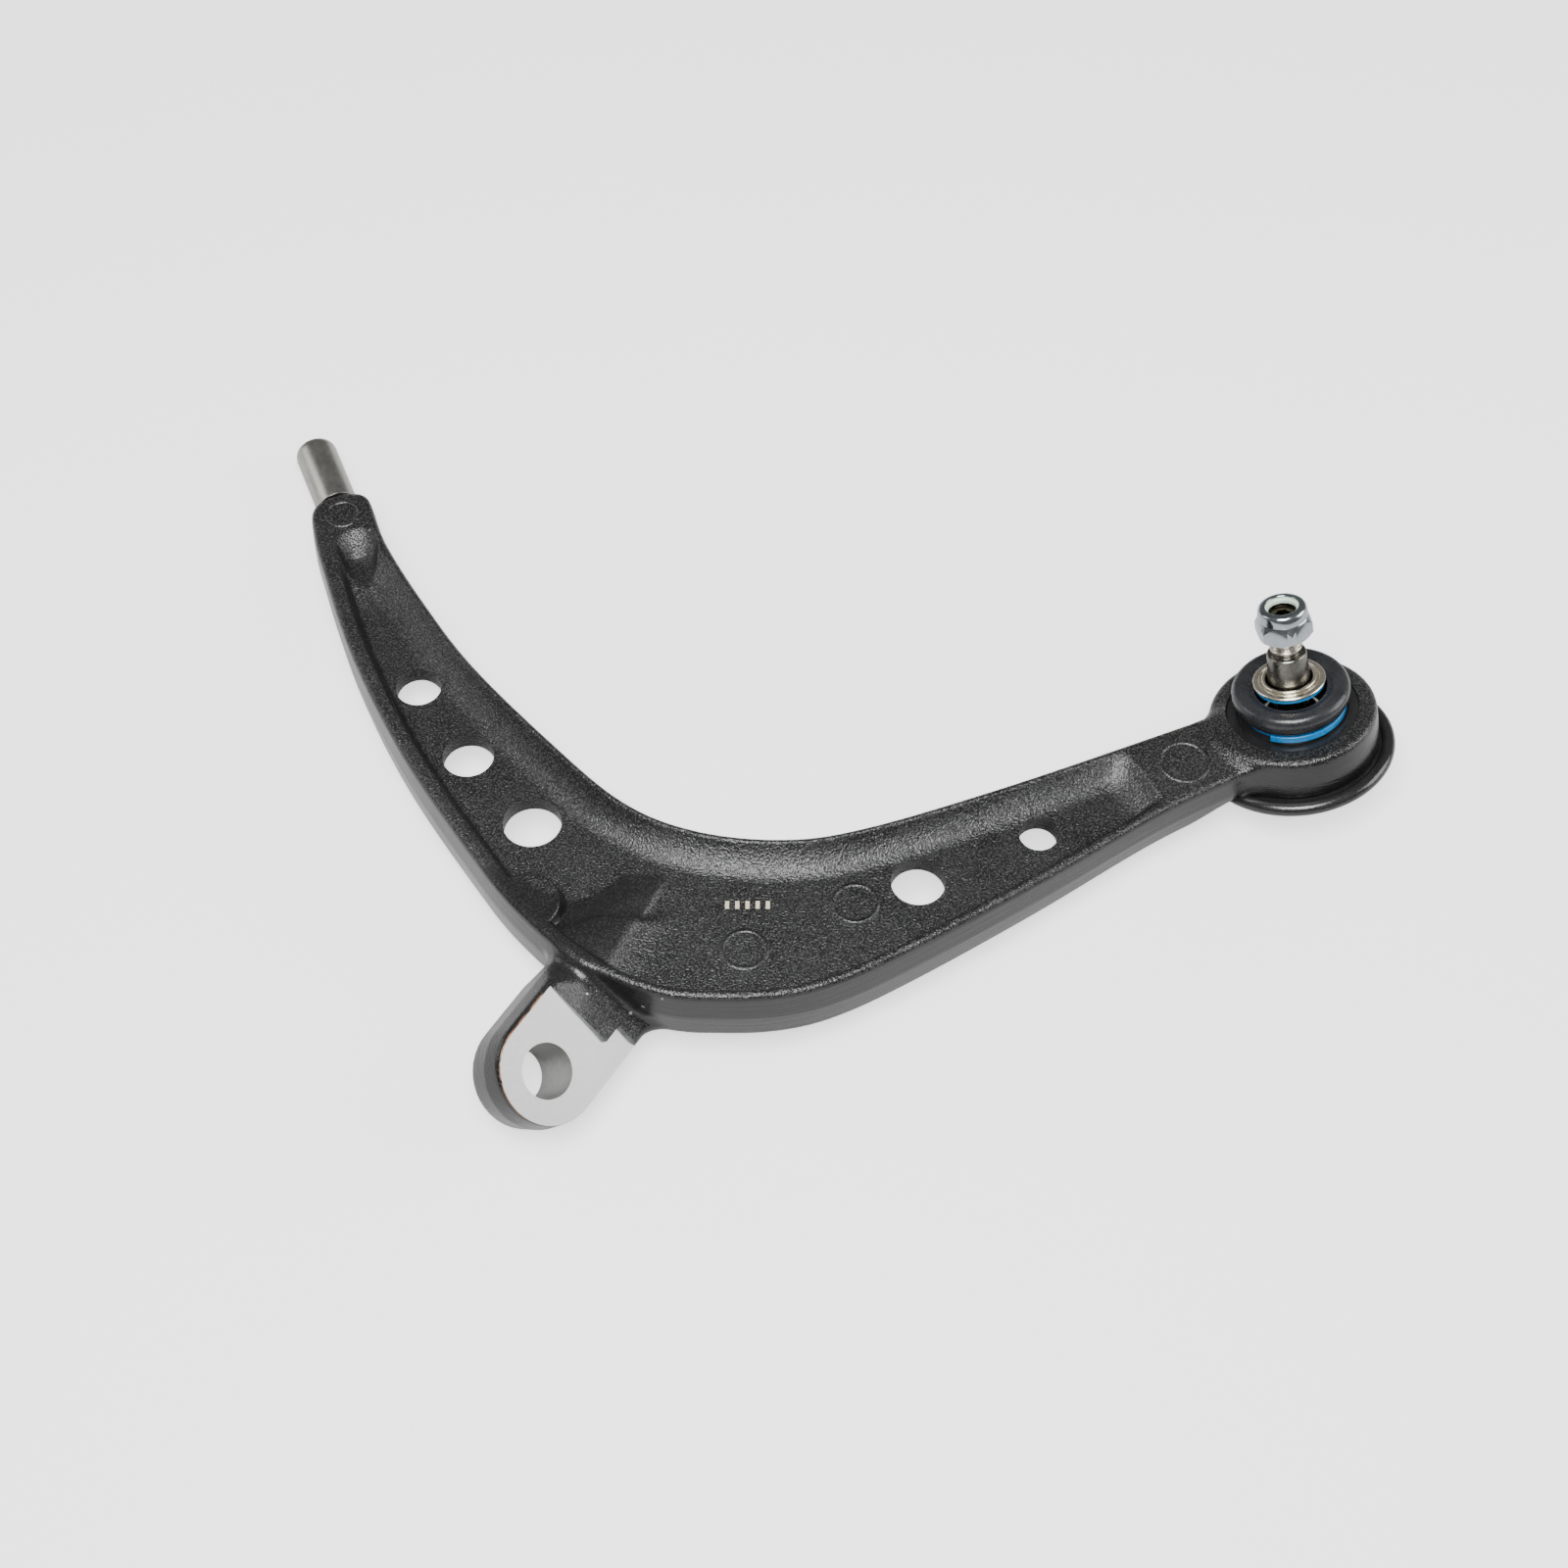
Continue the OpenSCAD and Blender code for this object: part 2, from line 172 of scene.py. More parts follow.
# Distances to both edges are tabled once on a fine plan grid, then read between its points.
plan_step = 0.5
plan_x = np.arange(-135, 330, plan_step)
plan_y = np.arange(-45, 300, plan_step)
plan_xy = np.stack(np.meshgrid(plan_x, plan_y, indexing="ij"), -1).reshape(-1, 2)
plan_shape = (len(plan_x), len(plan_y))
from_inner = -side_distance(plan_xy, curve(inner_points, 10)).reshape(plan_shape)
from_outer = side_distance(plan_xy, curve(outer_points, 10)).reshape(plan_shape)


def plan_value(table, x, y):
    """Reads a plan table at any points, by bilinear steps."""
    fx = np.clip((x - plan_x[0]) / plan_step, 0, len(plan_x) - 1.001)
    fy = np.clip((y - plan_y[0]) / plan_step, 0, len(plan_y) - 1.001)
    i, j = fx.astype(int), fy.astype(int)
    u, v = fx - i, fy - j
    return ((table[i, j] * (1 - u) + table[i + 1, j] * u) * (1 - v)
            + (table[i, j + 1] * (1 - u) + table[i + 1, j + 1] * u) * v)


def inside_gusset(x, y):
    """Distance inside the gusset's plan: behind a slanted end line and below a wavy one, a parabola
    that levels off, with the corner between them rounded."""
    end = (x - 31.5) * 0.894 - (y - 59) * 0.447
    wavy = y - 69 - 11.5 * np.minimum(((x - 3) / 20) ** 2, 1.0)
    return -smax(end, wavy, 6.0)


def casting(x, y, z):
    """Implicit value of the casting in mm: below zero inside, near a true distance outside."""
    x, y, z = (np.asarray(v, float) for v in (x, y, z))
    di = plan_value(from_inner, x, y)
    do = plan_value(from_outer, x, y)
    # Rims sink towards both ends.
    ends = 2.0 * np.maximum(ramp(90, 235, x), ramp(140, 262, y))
    top = rim_top - ends
    low = rim_bottom - 1.4 * ends
    left_limb = ramp(40, -20, x)
    # Pocket: steep at the outer rim, a long scoop at the inner one, round at both ends.
    along = (x - 207) * 0.87 + (y - 113) * 0.49
    back = (x + 89) * -0.36 + (y - 236) * 0.93
    rim_w = 3.2 + 2.6 * left_limb
    steep = ramp(0.0, 4.2, do - rim_w)
    scoop = 1 - (1 - np.clip((di - 2.6) / 12.5, 0, 1)) ** 1.9
    joint_end = 1 - (1 - np.clip((13.0 - along) / 15.0, 0, 1)) ** 2.2
    drop = steep * scoop * joint_end * (1 - 0.93 * ramp(-32.0, 10.0, back))
    # Teardrop dish at the neck's end of the pocket: crisp round its top, and a slope that runs down
    # and narrows to its tip.
    s = (x + 84.5) * -0.23 + (y - 222.5) * 0.973
    c = (x + 84.5) * 0.973 + (y - 222.5) * 0.23
    half_w = 8.5 * np.sqrt(np.clip((s + 6) / 21, 0.001, 1))
    across = np.where(s > 15, np.hypot(c, s - 15) / 8.5, np.abs(c) / half_w)
    bowl = np.maximum(1 - across ** 3, 0.0)
    dish = bowl * (0.3 + 0.7 * np.clip((23.5 - s) / 11.5, 0, 1)) * ramp(-6.0, 11.0, s)
    # Gusset from the lug's root: a step at its edge, then a slow rise to the rim.
    on_gusset = inside_gusset(x, y)
    shelf = 1.0 * ramp(0.0, 2.5, on_gusset) + 5.0 * ramp(0.0, 22.0, on_gusset)
    # Flat land at rim height beside the lug's root.
    land = 1 - ramp(12.0, 15.0, np.hypot(x + 10.5, y - 64.0))
    face = web_half + (top - web_half) * (1 - drop) - 4.6 * dish
    face = np.maximum(face, web_half + (rim_top - 0.5 - web_half) * land)
    face = np.maximum(face, np.minimum(web_half + shelf, top))
    under = web_half + (low - web_half) * (1 - drop)
    # Outline with drafted walls, widest a little below the mid-plane.
    lx = (x - pin_root[0]) * pin_turned[0, 0] + (y - pin_root[1]) * pin_turned[1, 0]
    ly = (x - pin_root[0]) * pin_turned[0, 1] + (y - pin_root[1]) * pin_turned[1, 1]
    near_end = ramp(-45, -17, lx)
    neck_end = np.sqrt(np.maximum(lx + 17.0, 0) ** 2 + (ly ** 2 + (z * 0.55) ** 2) * near_end) - 17.0
    wall = smin(di, do, 1.0) - 0.075 * np.abs(z + 1.0) + 0.5
    edge = 2.4
    plate = smax(smax(z - face, -under - z, 0.5), -wall, edge)
    plate = smax(plate, neck_end, 3.0)
    plate = smax(plate, x - 285.0, 2.0)
    # Boss, square to the joint's axis. The plate keeps clear above it, and slopes up below it to
    # leave room for the cup's flange.
    px, py, pz = x - ball_centre[0], y - ball_centre[1], z - ball_centre[2]
    jx, jy, jz = (px * joint_turned[0, i] + py * joint_turned[1, i] + pz * joint_turned[2, i]
                  for i in range(3))
    jr = np.hypot(jx, jy)
    boss_ends = smax(jz - rim_z, boss_bottom_z - jz, 1.0)
    boss = smax(jr - boss_r + 0.03 * np.abs(jz + 1.5), boss_ends, 3.0)
    plate = smax(plate, -smax(jr - boss_r - 1.0, rim_z - jz, 5.0), 5.0)
    flange_room = 38.5
    under_flange = 0.22 * (jr - flange_room + 4.5 * (jz - boss_bottom_z))
    plate = smax(plate, -smax(under_flange, jz - boss_bottom_z, 1.0), 3.0)
    body = smin(plate, boss, 7.0)
    # Lug: a round-ended slab rolled about its own length, with rough skin a little above the face that
    # is milled later. Its root is lower than the rims and fades out under the plate.
    ux, uy, uz = (x * lug_turned[0, i] + y * lug_turned[1, i] + z * lug_turned[2, i] for i in range(3))
    end_shift, lug_half_w, lug_thick, lug_length, root_top = 1.3, 20.4, 22.5, 74.0, 8.6
    lug_plan = np.where(ux > end_shift, np.abs(uy), np.hypot(ux - end_shift, uy)) - lug_half_w
    lug_side = lug_plan + 0.09 * np.abs(uz + 9.0) - 0.5
    lug_top = uz - 0.4 - 0.045 * (18 - uy)
    lug_low = -lug_thick - uz + 0.55 * np.maximum(ux - 24, 0)
    lug = smax(smax(lug_side, lug_low, 4.0), lug_top, 3.0)
    lug = smax(lug, ux - lug_length, 8.0)
    lug = smax(lug, z - root_top - 7.0 * (1 - ramp(20.0, 36.0, ux)), 3.0)
    return smin(body, lug, 6.0)


def slope(field, p, step=0.35):
    """Gradient of an implicit value at points, by central differences."""
    g = np.empty_like(p)
    for axis in range(3):
        d = np.zeros(3)
        d[axis] = step
        g[:, axis] = (field(*(p + d).T) - field(*(p - d).T)) / (2 * step)
    return g


def skin(field, low, high, cell):
    """Skin of an implicit solid: one vertex in each grid cell that the surface crosses, moved on to
    the surface along the gradient, and one quad round each grid edge that the surface crosses."""
    axes = [np.arange(a, b + cell, cell) for a, b in zip(low, high)]
    value = field(axes[0][:, None, None], axes[1][None, :, None], axes[2][None, None, :])
    inside = value < 0
    n = [s - 1 for s in value.shape]
    corners = np.array([[i, j, k] for i in (0, 1) for j in (0, 1) for k in (0, 1)])
    some, every = np.zeros(n, bool), np.ones(n, bool)
    for i, j, k in corners:
        part = inside[i:i + n[0], j:j + n[1], k:k + n[2]]
        some |= part
        every &= part
    cells = np.argwhere(some & ~every)
    number = np.full(n, -1, np.int32)
    number[tuple(cells.T)] = np.arange(len(cells))
    v = np.stack([value[tuple((cells + c).T)] for c in corners], 1)
    total, count = np.zeros((len(cells), 3)), np.zeros(len(cells))
    for a in range(8):
        for b in range(a + 1, 8):
            if np.abs(corners[a] - corners[b]).sum() == 1:
                cross = (v[:, a] < 0) != (v[:, b] < 0)
                t = np.where(cross, v[:, a] / np.where(cross, v[:, a] - v[:, b], 1), 0)
                total += np.where(cross[:, None], corners[a] + t[:, None] * (corners[b] - corners[a]), 0)
                count += cross
    points = np.array(low) + (cells + total / count[:, None]) * cell
    quads = []
    for axis in range(3):
        u, w = (axis + 1) % 3, (axis + 2) % 3
        first, second = [slice(1, -1)] * 3, [slice(1, -1)] * 3
        first[axis], second[axis] = slice(0, -1), slice(1, None)
        change = inside[tuple(first)] != inside[tuple(second)]
        at = np.argwhere(change)
        at[:, u] += 1
        at[:, w] += 1
        start = inside[tuple(at.T)]
        ring = []
        for du, dw in ((1, 1), (0, 1), (0, 0), (1, 0)):
            c = at.copy()
            c[:, u] -= du
            c[:, w] -= dw
            ring.append(number[tuple(c.T)])
        q = np.stack(ring, 1)
        q[~start] = q[~start, ::-1]
        quads.append(q)
    for _ in range(4):
        g = slope(field, points)
        move = field(*points.T) / np.maximum((g * g).sum(1), 0.05)
        points -= np.clip(move[:, None] * g, -0.5 * cell, 0.5 * cell)
    return points, np.vstack(quads)


def mesh_object(name, points, faces, materials):
    """Closed mesh from points in mm and face rows, in metres, with its material slots."""
    mesh = bpy.data.meshes.new(name)
    faces = np.asarray(faces)
    mesh.vertices.add(len(points))
    mesh.vertices.foreach_set("co", (np.asarray(points) * MM).astype(np.float32).ravel())
    mesh.loops.add(faces.size)
    mesh.loops.foreach_set("vertex_index", faces.ravel().astype(np.int32))
    mesh.polygons.add(len(faces))
    mesh.polygons.foreach_set("loop_start", np.arange(0, faces.size, faces.shape[1], dtype=np.int32))
    mesh.update(calc_edges=True)
    mesh.validate()
    for material in materials:
        mesh.materials.append(material)
    obj = bpy.data.objects.new(name, mesh)
    bpy.context.collection.objects.link(obj)
    return obj


def drum(name, turned, centre, low, high, radius, sides=96):
    """Closed cylinder in mm about a frame's own Z axis, between two heights, as a cutting tool."""
    a = np.arange(sides) * 2 * np.pi / sides
    ring = np.stack([radius * np.cos(a), radius * np.sin(a)], 1)
    both = np.vstack([np.c_[ring, np.full(sides, low)], np.c_[ring, np.full(sides, high)],
                      [[0, 0, low], [0, 0, high]]])
    i = np.arange(sides)
    j = (i + 1) % sides
    walls = np.vstack([np.stack([i, j, j + sides], 1), np.stack([i, j + sides, i + sides], 1),
                       np.stack([j, i, np.full(sides, 2 * sides)], 1),
                       np.stack([i + sides, j + sides, np.full(sides, 2 * sides + 1)], 1)])
    return mesh_object(name, both @ turned.T + centre, walls, [])


def block(name, turned, low, high):
    """Closed box in mm, given by two corners in a frame through the origin, as a cutting tool."""
    c = np.array([[i, j, k] for k in (0, 1) for j in (0, 1) for i in (0, 1)])
    p = np.array(low) + c * (np.array(high) - np.array(low))
    quads = [[0, 2, 3, 1], [4, 5, 7, 6], [0, 1, 5, 4], [2, 6, 7, 3], [0, 4, 6, 2], [1, 3, 7, 5]]
    return mesh_object(name, p @ turned.T, quads, [])


def cut_with(obj, tools):
    """Takes each tool out of an object by a boolean, and removes the tool."""
    for tool in tools:
        cut = obj.modifiers.new("cut", "BOOLEAN")
        cut.operation, cut.solver, cut.object = "DIFFERENCE", "MANIFOLD", tool
        bpy.context.view_layer.objects.active = obj
        with bpy.context.temp_override(object=obj, active_object=obj, selected_objects=[obj]):
            bpy.ops.object.modifier_apply(modifier=cut.name)
        bpy.data.objects.remove(tool)


def new_group(name, inputs, outputs):
    """Empty shader group with named sockets: (name, kind, value) in, (name, kind) out."""
    tree = bpy.data.node_groups.new(name, "ShaderNodeTree")
    for label, kind, value in inputs:
        socket = tree.interface.new_socket(label, in_out="INPUT", socket_type=kind)
        if value is not None:
            socket.default_value = value
    for label, kind in outputs:
        tree.interface.new_socket(label, in_out="OUTPUT", socket_type=kind)
    return tree, tree.nodes.new("NodeGroupInput"), tree.nodes.new("NodeGroupOutput")


def node(tree, kind, sources=(), **settings):
    """Adds a node, sets its properties, and feeds its inputs from sockets or plain values."""
    made = tree.nodes.new(kind)
    for key, value in settings.items():
        setattr(made, key, value)
    for key, value in dict(sources).items():
        if isinstance(value, bpy.types.NodeSocket):
            tree.links.new(value, made.inputs[key])
        else:
            made.inputs[key].default_value = value
    return made


def sums(tree, kind, *values):
    """One maths step on sockets or numbers, clamped to 0-1 where the name ends in an exclamation mark."""
    made = node(tree, "ShaderNodeMath", enumerate(values), operation=kind.rstrip("!"),
                use_clamp=kind.endswith("!"))
    return made.outputs[0]


def tinted(tree, factor, base, color):
    """Colour socket that goes from a base colour to a plain one by a factor."""
    mix = node(tree, "ShaderNodeMix", {"Factor": factor}, data_type="RGBA")
    tree.links.new(base, mix.inputs[6])
    mix.inputs[7].default_value = (*color, 1)
    return mix.outputs[2]


def place_group(tree, group, values):
    """Places a shader group with values on its sockets, and returns its outputs."""
    made = tree.nodes.new("ShaderNodeGroup")
    made.node_tree = group
    for key, value in values.items():
        made.inputs[key].default_value = value
    return made.outputs


def dot_or_length(tree, vector, other=None):
    """Dot product of a vector socket and a plain vector, or the vector's length without one."""
    if other is None:
        return node(tree, "ShaderNodeVectorMath", {0: vector}, operation="LENGTH").outputs["Value"]
    return node(tree, "ShaderNodeVectorMath", {0: vector, 1: tuple(other)},
                operation="DOT_PRODUCT").outputs["Value"]


def finish_material(name, color, roughness, metallic=0.0, coat=0.0, **more):
    """Material with a Principled shader whose plain values sit on its own sockets."""
    made = bpy.data.materials.new(name)
    made.use_nodes = True
    tree = made.node_tree
    shader = tree.nodes["Principled BSDF"]
    shader.inputs["Base Color"].default_value = (*color, 1)
    shader.inputs["Roughness"].default_value = roughness
    shader.inputs["Metallic"].default_value = metallic
    shader.inputs["Coat Weight"].default_value = coat
    for key, value in more.items():
        shader.inputs[key.replace("_", " ")].default_value = value
    return made, tree, shader


# Uneven finish: noise at two sizes gives a height for the bump, and shifts colour and roughness.
uneven, into, out = new_group("uneven_finish", [
    ("Fine Scale", "NodeSocketFloat", 900.0), ("Broad Scale", "NodeSocketFloat", 60.0),
    ("Light", "NodeSocketColor", (1, 1, 1, 1)), ("Dark", "NodeSocketColor", (0, 0, 0, 1)),
    ("Rough Low", "NodeSocketFloat", 0.3), ("Rough High", "NodeSocketFloat", 0.4)],
    [("Height", "NodeSocketFloat"), ("Color", "NodeSocketColor"), ("Roughness", "NodeSocketFloat")])
where = node(uneven, "ShaderNodeTexCoord").outputs["Object"]
fine = node(uneven, "ShaderNodeTexNoise", {"Vector": where, "Scale": into.outputs["Fine Scale"],
                                           "Detail": 2.0, "Roughness": 0.55}).outputs["Fac"]
broad = node(uneven, "ShaderNodeTexNoise", {"Vector": where, "Scale": into.outputs["Broad Scale"],
                                            "Detail": 3.0, "Roughness": 0.6}).outputs["Fac"]
mixed = sums(uneven, "MULTIPLY_ADD", broad, 0.6, sums(uneven, "MULTIPLY", fine, 0.4))
spread = node(uneven, "ShaderNodeMapRange", {"Value": mixed, "From Min": 0.35, "From Max": 0.65}).outputs[0]
tint = node(uneven, "ShaderNodeMix", {"Factor": spread}, data_type="RGBA")
uneven.links.new(into.outputs["Dark"], tint.inputs[6])
uneven.links.new(into.outputs["Light"], tint.inputs[7])
rough = node(uneven, "ShaderNodeMapRange", {"Value": spread, "To Min": into.outputs["Rough Low"],
                                            "To Max": into.outputs["Rough High"]}).outputs[0]
uneven.links.new(fine, out.inputs["Height"])
uneven.links.new(tint.outputs[2], out.inputs["Color"])
uneven.links.new(rough, out.inputs["Roughness"])


def give_finish(tree, shader, light, dark, rough_low, rough_high, fine=900.0, broad=60.0):
    """Places the uneven finish in a material, feeds colour and roughness, and returns its height."""
    made = place_group(tree, uneven, {
        "Light": (*light, 1), "Dark": (*dark, 1), "Rough Low": rough_low, "Rough High": rough_high,
        "Fine Scale": fine, "Broad Scale": broad})
    tree.links.new(made["Color"], shader.inputs["Base Color"])
    tree.links.new(made["Roughness"], shader.inputs["Roughness"])
    return made["Height"]


def give_bump(tree, shader, height, distance):
    """Feeds the shader's normal from a height, whose full range stands for a distance in metres."""
    bump = node(tree, "ShaderNodeBump", {"Height": height, "Distance": distance, "Strength": 1.0})
    tree.links.new(bump.outputs["Normal"], shader.inputs["Normal"])


def plain_finish(name, color, roughness, finish, bump, **more):
    """Material with an uneven finish, and a bump in metres from the finish's own height."""
    made, tree, shader = finish_material(name, color, roughness, **more)
    give_bump(tree, shader, give_finish(tree, shader, *finish), bump)
    return made


# Forge pad: a disc's edge seen as a fine raised line, with the disc a little off the skin's level.
pad_mark, into, out = new_group("pad_mark", [
    ("Centre", "NodeSocketVector", (0, 0, 0)), ("Radius", "NodeSocketFloat", 0.008),
    ("Step", "NodeSocketFloat", 0.3)], [("Height", "NodeSocketFloat")])
flat = node(pad_mark, "ShaderNodeVectorMath", {0: node(pad_mark, "ShaderNodeTexCoord").outputs["Object"],
                                               1: (1, 1, 0)}, operation="MULTIPLY").outputs[0]
reach = node(pad_mark, "ShaderNodeVectorMath", {0: flat, 1: into.outputs["Centre"]},
             operation="DISTANCE").outputs["Value"]
off = sums(pad_mark, "SUBTRACT", reach, into.outputs["Radius"])
edge_half_w, edge_slope = 0.9 * MM, -2500.0
line = sums(pad_mark, "SUBTRACT!", 1.0, sums(
    pad_mark, "DIVIDE", sums(pad_mark, "ABSOLUTE", off), edge_half_w))
inside = sums(pad_mark, "MULTIPLY_ADD!", off, edge_slope, 0.5)
disc = sums(pad_mark, "MULTIPLY", inside, into.outputs["Step"])
pad_mark.links.new(sums(pad_mark, "ADD", line, disc), out.inputs["Height"])

# Black coat over cast skin: a fine grain that shows less on the drafted walls, with a painted
# highlight speck in each grain, the pads, a row of five pale bars stamped in the web, and a thin
# coppery line where milling broke the coat.
black_coat, tree, shader = finish_material("black_coat", (0.008, 0.008, 0.008), 0.26,
                                           Specular_IOR_Level=0.5)
where = node(tree, "ShaderNodeTexCoord").outputs["Object"]
skin_height = give_finish(tree, shader, (0.011, 0.0115, 0.011), (0.0045, 0.0045, 0.0045), 0.17, 0.28,
                          1200.0, 35.0)
grains = node(tree, "ShaderNodeTexVoronoi", {"Vector": where, "Scale": 1700.0},
              feature="SMOOTH_F1").outputs["Distance"]
grain_share = node(tree, "ShaderNodeAttribute", attribute_name="grain").outputs["Fac"]
rough_skin = sums(tree, "MULTIPLY", sums(tree, "ADD", grains, skin_height), grain_share)
stretched = node(tree, "ShaderNodeVectorMath", {0: where, 1: (25, 25, 900)}, operation="MULTIPLY")
lines = node(tree, "ShaderNodeTexNoise", {
    "Vector": stretched.outputs[0], "Scale": 1.0, "Detail": 2.0}).outputs["Fac"]
wall_share = sums(tree, "MULTIPLY", sums(tree, "SUBTRACT", 1.0, grain_share), 0.5)
height = sums(tree, "MULTIPLY_ADD", lines, wall_share, rough_skin)
pads = [((68.5, 48.5), 8.0, 0.5), ((108.5, 68.5), 8.0, -0.5), ((232.5, 128.0), 9.0, -0.35),
        ((-95.5, 253.5), 6.5, -0.4)]
pad_share = 2.2
for (pad_x, pad_y), pad_r, pad_step in pads:
    pad = place_group(tree, pad_mark, {
        "Centre": (pad_x * MM, pad_y * MM, 0), "Radius": pad_r * MM, "Step": pad_step})
    height = sums(tree, "MULTIPLY_ADD", pad["Height"], pad_share, height)
give_bump(tree, shader, height, 0.00024)
axes = node(tree, "ShaderNodeSeparateXYZ", {0: where}).outputs
bar_left, bar_pitch, bar_middle_y, bar_half_h = 60.0 * MM, 3.7 * MM, 67.5 * MM, 1.7 * MM
bar_half_share, half_count = 0.2, 2.5
across = sums(tree, "DIVIDE", sums(tree, "SUBTRACT", axes["X"], bar_left), bar_pitch)
in_bar = sums(tree, "LESS_THAN", sums(tree, "ABSOLUTE", sums(
    tree, "SUBTRACT", sums(tree, "FRACT", across), 0.5)), bar_half_share)
in_row = sums(tree, "LESS_THAN", sums(tree, "ABSOLUTE", sums(
    tree, "SUBTRACT", across, half_count)), half_count)
in_height = sums(tree, "LESS_THAN", sums(tree, "ABSOLUTE", sums(
    tree, "SUBTRACT", axes["Y"], bar_middle_y)), bar_half_h)
on_top = sums(tree, "GREATER_THAN", axes["Z"], 0.0)
bars = sums(tree, "MULTIPLY", sums(tree, "MULTIPLY", in_bar, in_row),
            sums(tree, "MULTIPLY", in_height, on_top))
copper_half_w, copper_reach = 0.55 * MM, 27 * MM
above_face = dot_or_length(tree, where, lug_turned[:, 2])
near_face = sums(tree, "SUBTRACT!", 1.0, sums(
    tree, "DIVIDE", sums(tree, "ABSOLUTE", above_face), copper_half_w))
near_lug = sums(tree, "LESS_THAN", dot_or_length(tree, where), copper_reach)
worn = node(tree, "ShaderNodeTexNoise", {"Vector": where, "Scale": 260.0, "Detail": 3.0}).outputs["Fac"]
copper = sums(tree, "MULTIPLY", sums(tree, "MULTIPLY", near_face, near_lug),
              sums(tree, "MULTIPLY_ADD!", worn, 3.0, -1.0))
# Painted highlight: a paler speck at the rim of each grain, within the grain's share, stands for its glint.
painted_glint = sums(tree, "MULTIPLY!", sums(tree, "MULTIPLY_ADD!", grains, 5.0, -2.0), grain_share)
coat_color = shader.inputs["Base Color"].links[0].from_socket
for share, color in ((painted_glint, (0.03, 0.031, 0.03)), (bars, (0.5, 0.45, 0.33)), (copper, (0.42, 0.2, 0.11))):
    coat_color = tinted(tree, share, coat_color, color)
tree.links.new(coat_color, shader.inputs["Base Color"])

# Milled faces and bore: bright steel with fine arcs left by the cutter, and long faint shade bands.
milled_steel, tree, shader = finish_material("milled_steel", (0.8, 0.81, 0.8), 0.3, metallic=0.9)
mill_height = give_finish(tree, shader, (0.5, 0.51, 0.5), (0.38, 0.39, 0.38), 0.3, 0.45, 500.0, 45.0)
where = node(tree, "ShaderNodeTexCoord").outputs["Object"]
cutter_away, arcs_per_metre, feed_per_metre = 0.045, 9000.0, 12000.0
off_centre = node(tree, "ShaderNodeVectorMath", {0: where, 1: tuple(-cutter_away * lug_turned[:, 0])},
                  operation="SUBTRACT").outputs[0]
arcs = sums(tree, "SINE", sums(tree, "MULTIPLY", dot_or_length(tree, off_centre), arcs_per_metre))
give_bump(tree, shader, sums(tree, "MULTIPLY_ADD", arcs, 0.25, mill_height), 0.00002)
bored_steel, tree, shader = finish_material("bored_steel", (0.4, 0.4, 0.39), 0.35, metallic=1.0)
bore_height = give_finish(tree, shader, (0.42, 0.42, 0.41), (0.3, 0.3, 0.29), 0.3, 0.42, 500.0, 60.0)
where = node(tree, "ShaderNodeTexCoord").outputs["Object"]
feed = dot_or_length(tree, where, lug_turned[:, 2])
give_bump(tree, shader, sums(tree, "MULTIPLY_ADD", sums(
    tree, "SINE", sums(tree, "MULTIPLY", feed, feed_per_metre)), 0.3, bore_height), 0.00003)

grid_cell = 1.15
cast_points, cast_quads = skin(casting, (-125, -32, -34), (320, 284, 24), grid_cell)
arm = mesh_object("arm_casting", cast_points, cast_quads, [black_coat, milled_steel, bored_steel])
lug_bore, lug_face = 10.0, 0.0
shoulder_x, notch_x, notch_y = 23.3, 31.0, -10.0
far = 60.0
upright = np.eye(3)
lightening_holes = [(-58.5, 168.5, 17.5), (-37, 135.3, 19.5), (-11, 104.3, 22),
                    (131.5, 77.5, 20), (176.7, 98.9, 14.5)]
tools = [block("mill_face", lug_turned, (-far, -far, lug_face), (shoulder_x, far, far)),
         block("mill_notch", lug_turned, (shoulder_x - 1, -far, lug_face), (notch_x, notch_y, far)),
         drum("bore", lug_turned, np.zeros(3), -far, far, lug_bore),
         drum("seat", joint_turned, ball_centre, -far, far, housing_r)]
tools += [drum(f"hole_{i}", upright, np.array([x, y, 0]), -far, far, d / 2)
          for i, (x, y, d) in enumerate(lightening_holes)]
cut_with(arm, tools)


def read(items, key, width=1, kind=np.float32):
    """One property of every item of a mesh collection, as an array or as rows of a width."""
    values = np.empty(len(items) * width, kind)
    items.foreach_get(key, values)
    return values.reshape(-1, width) if width > 1 else values


def points_of(obj):
    """Vertices of a piece as rows, in metres."""
    return read(obj.data.vertices, "co", 3).astype(float)


def off_cylinder(rows, x, y, radius):
    """Distance of rows from a cylinder's wall, along Z through (x, y)."""
    return np.abs(np.hypot(rows[:, 0] - x, rows[:, 1] - y) - radius)


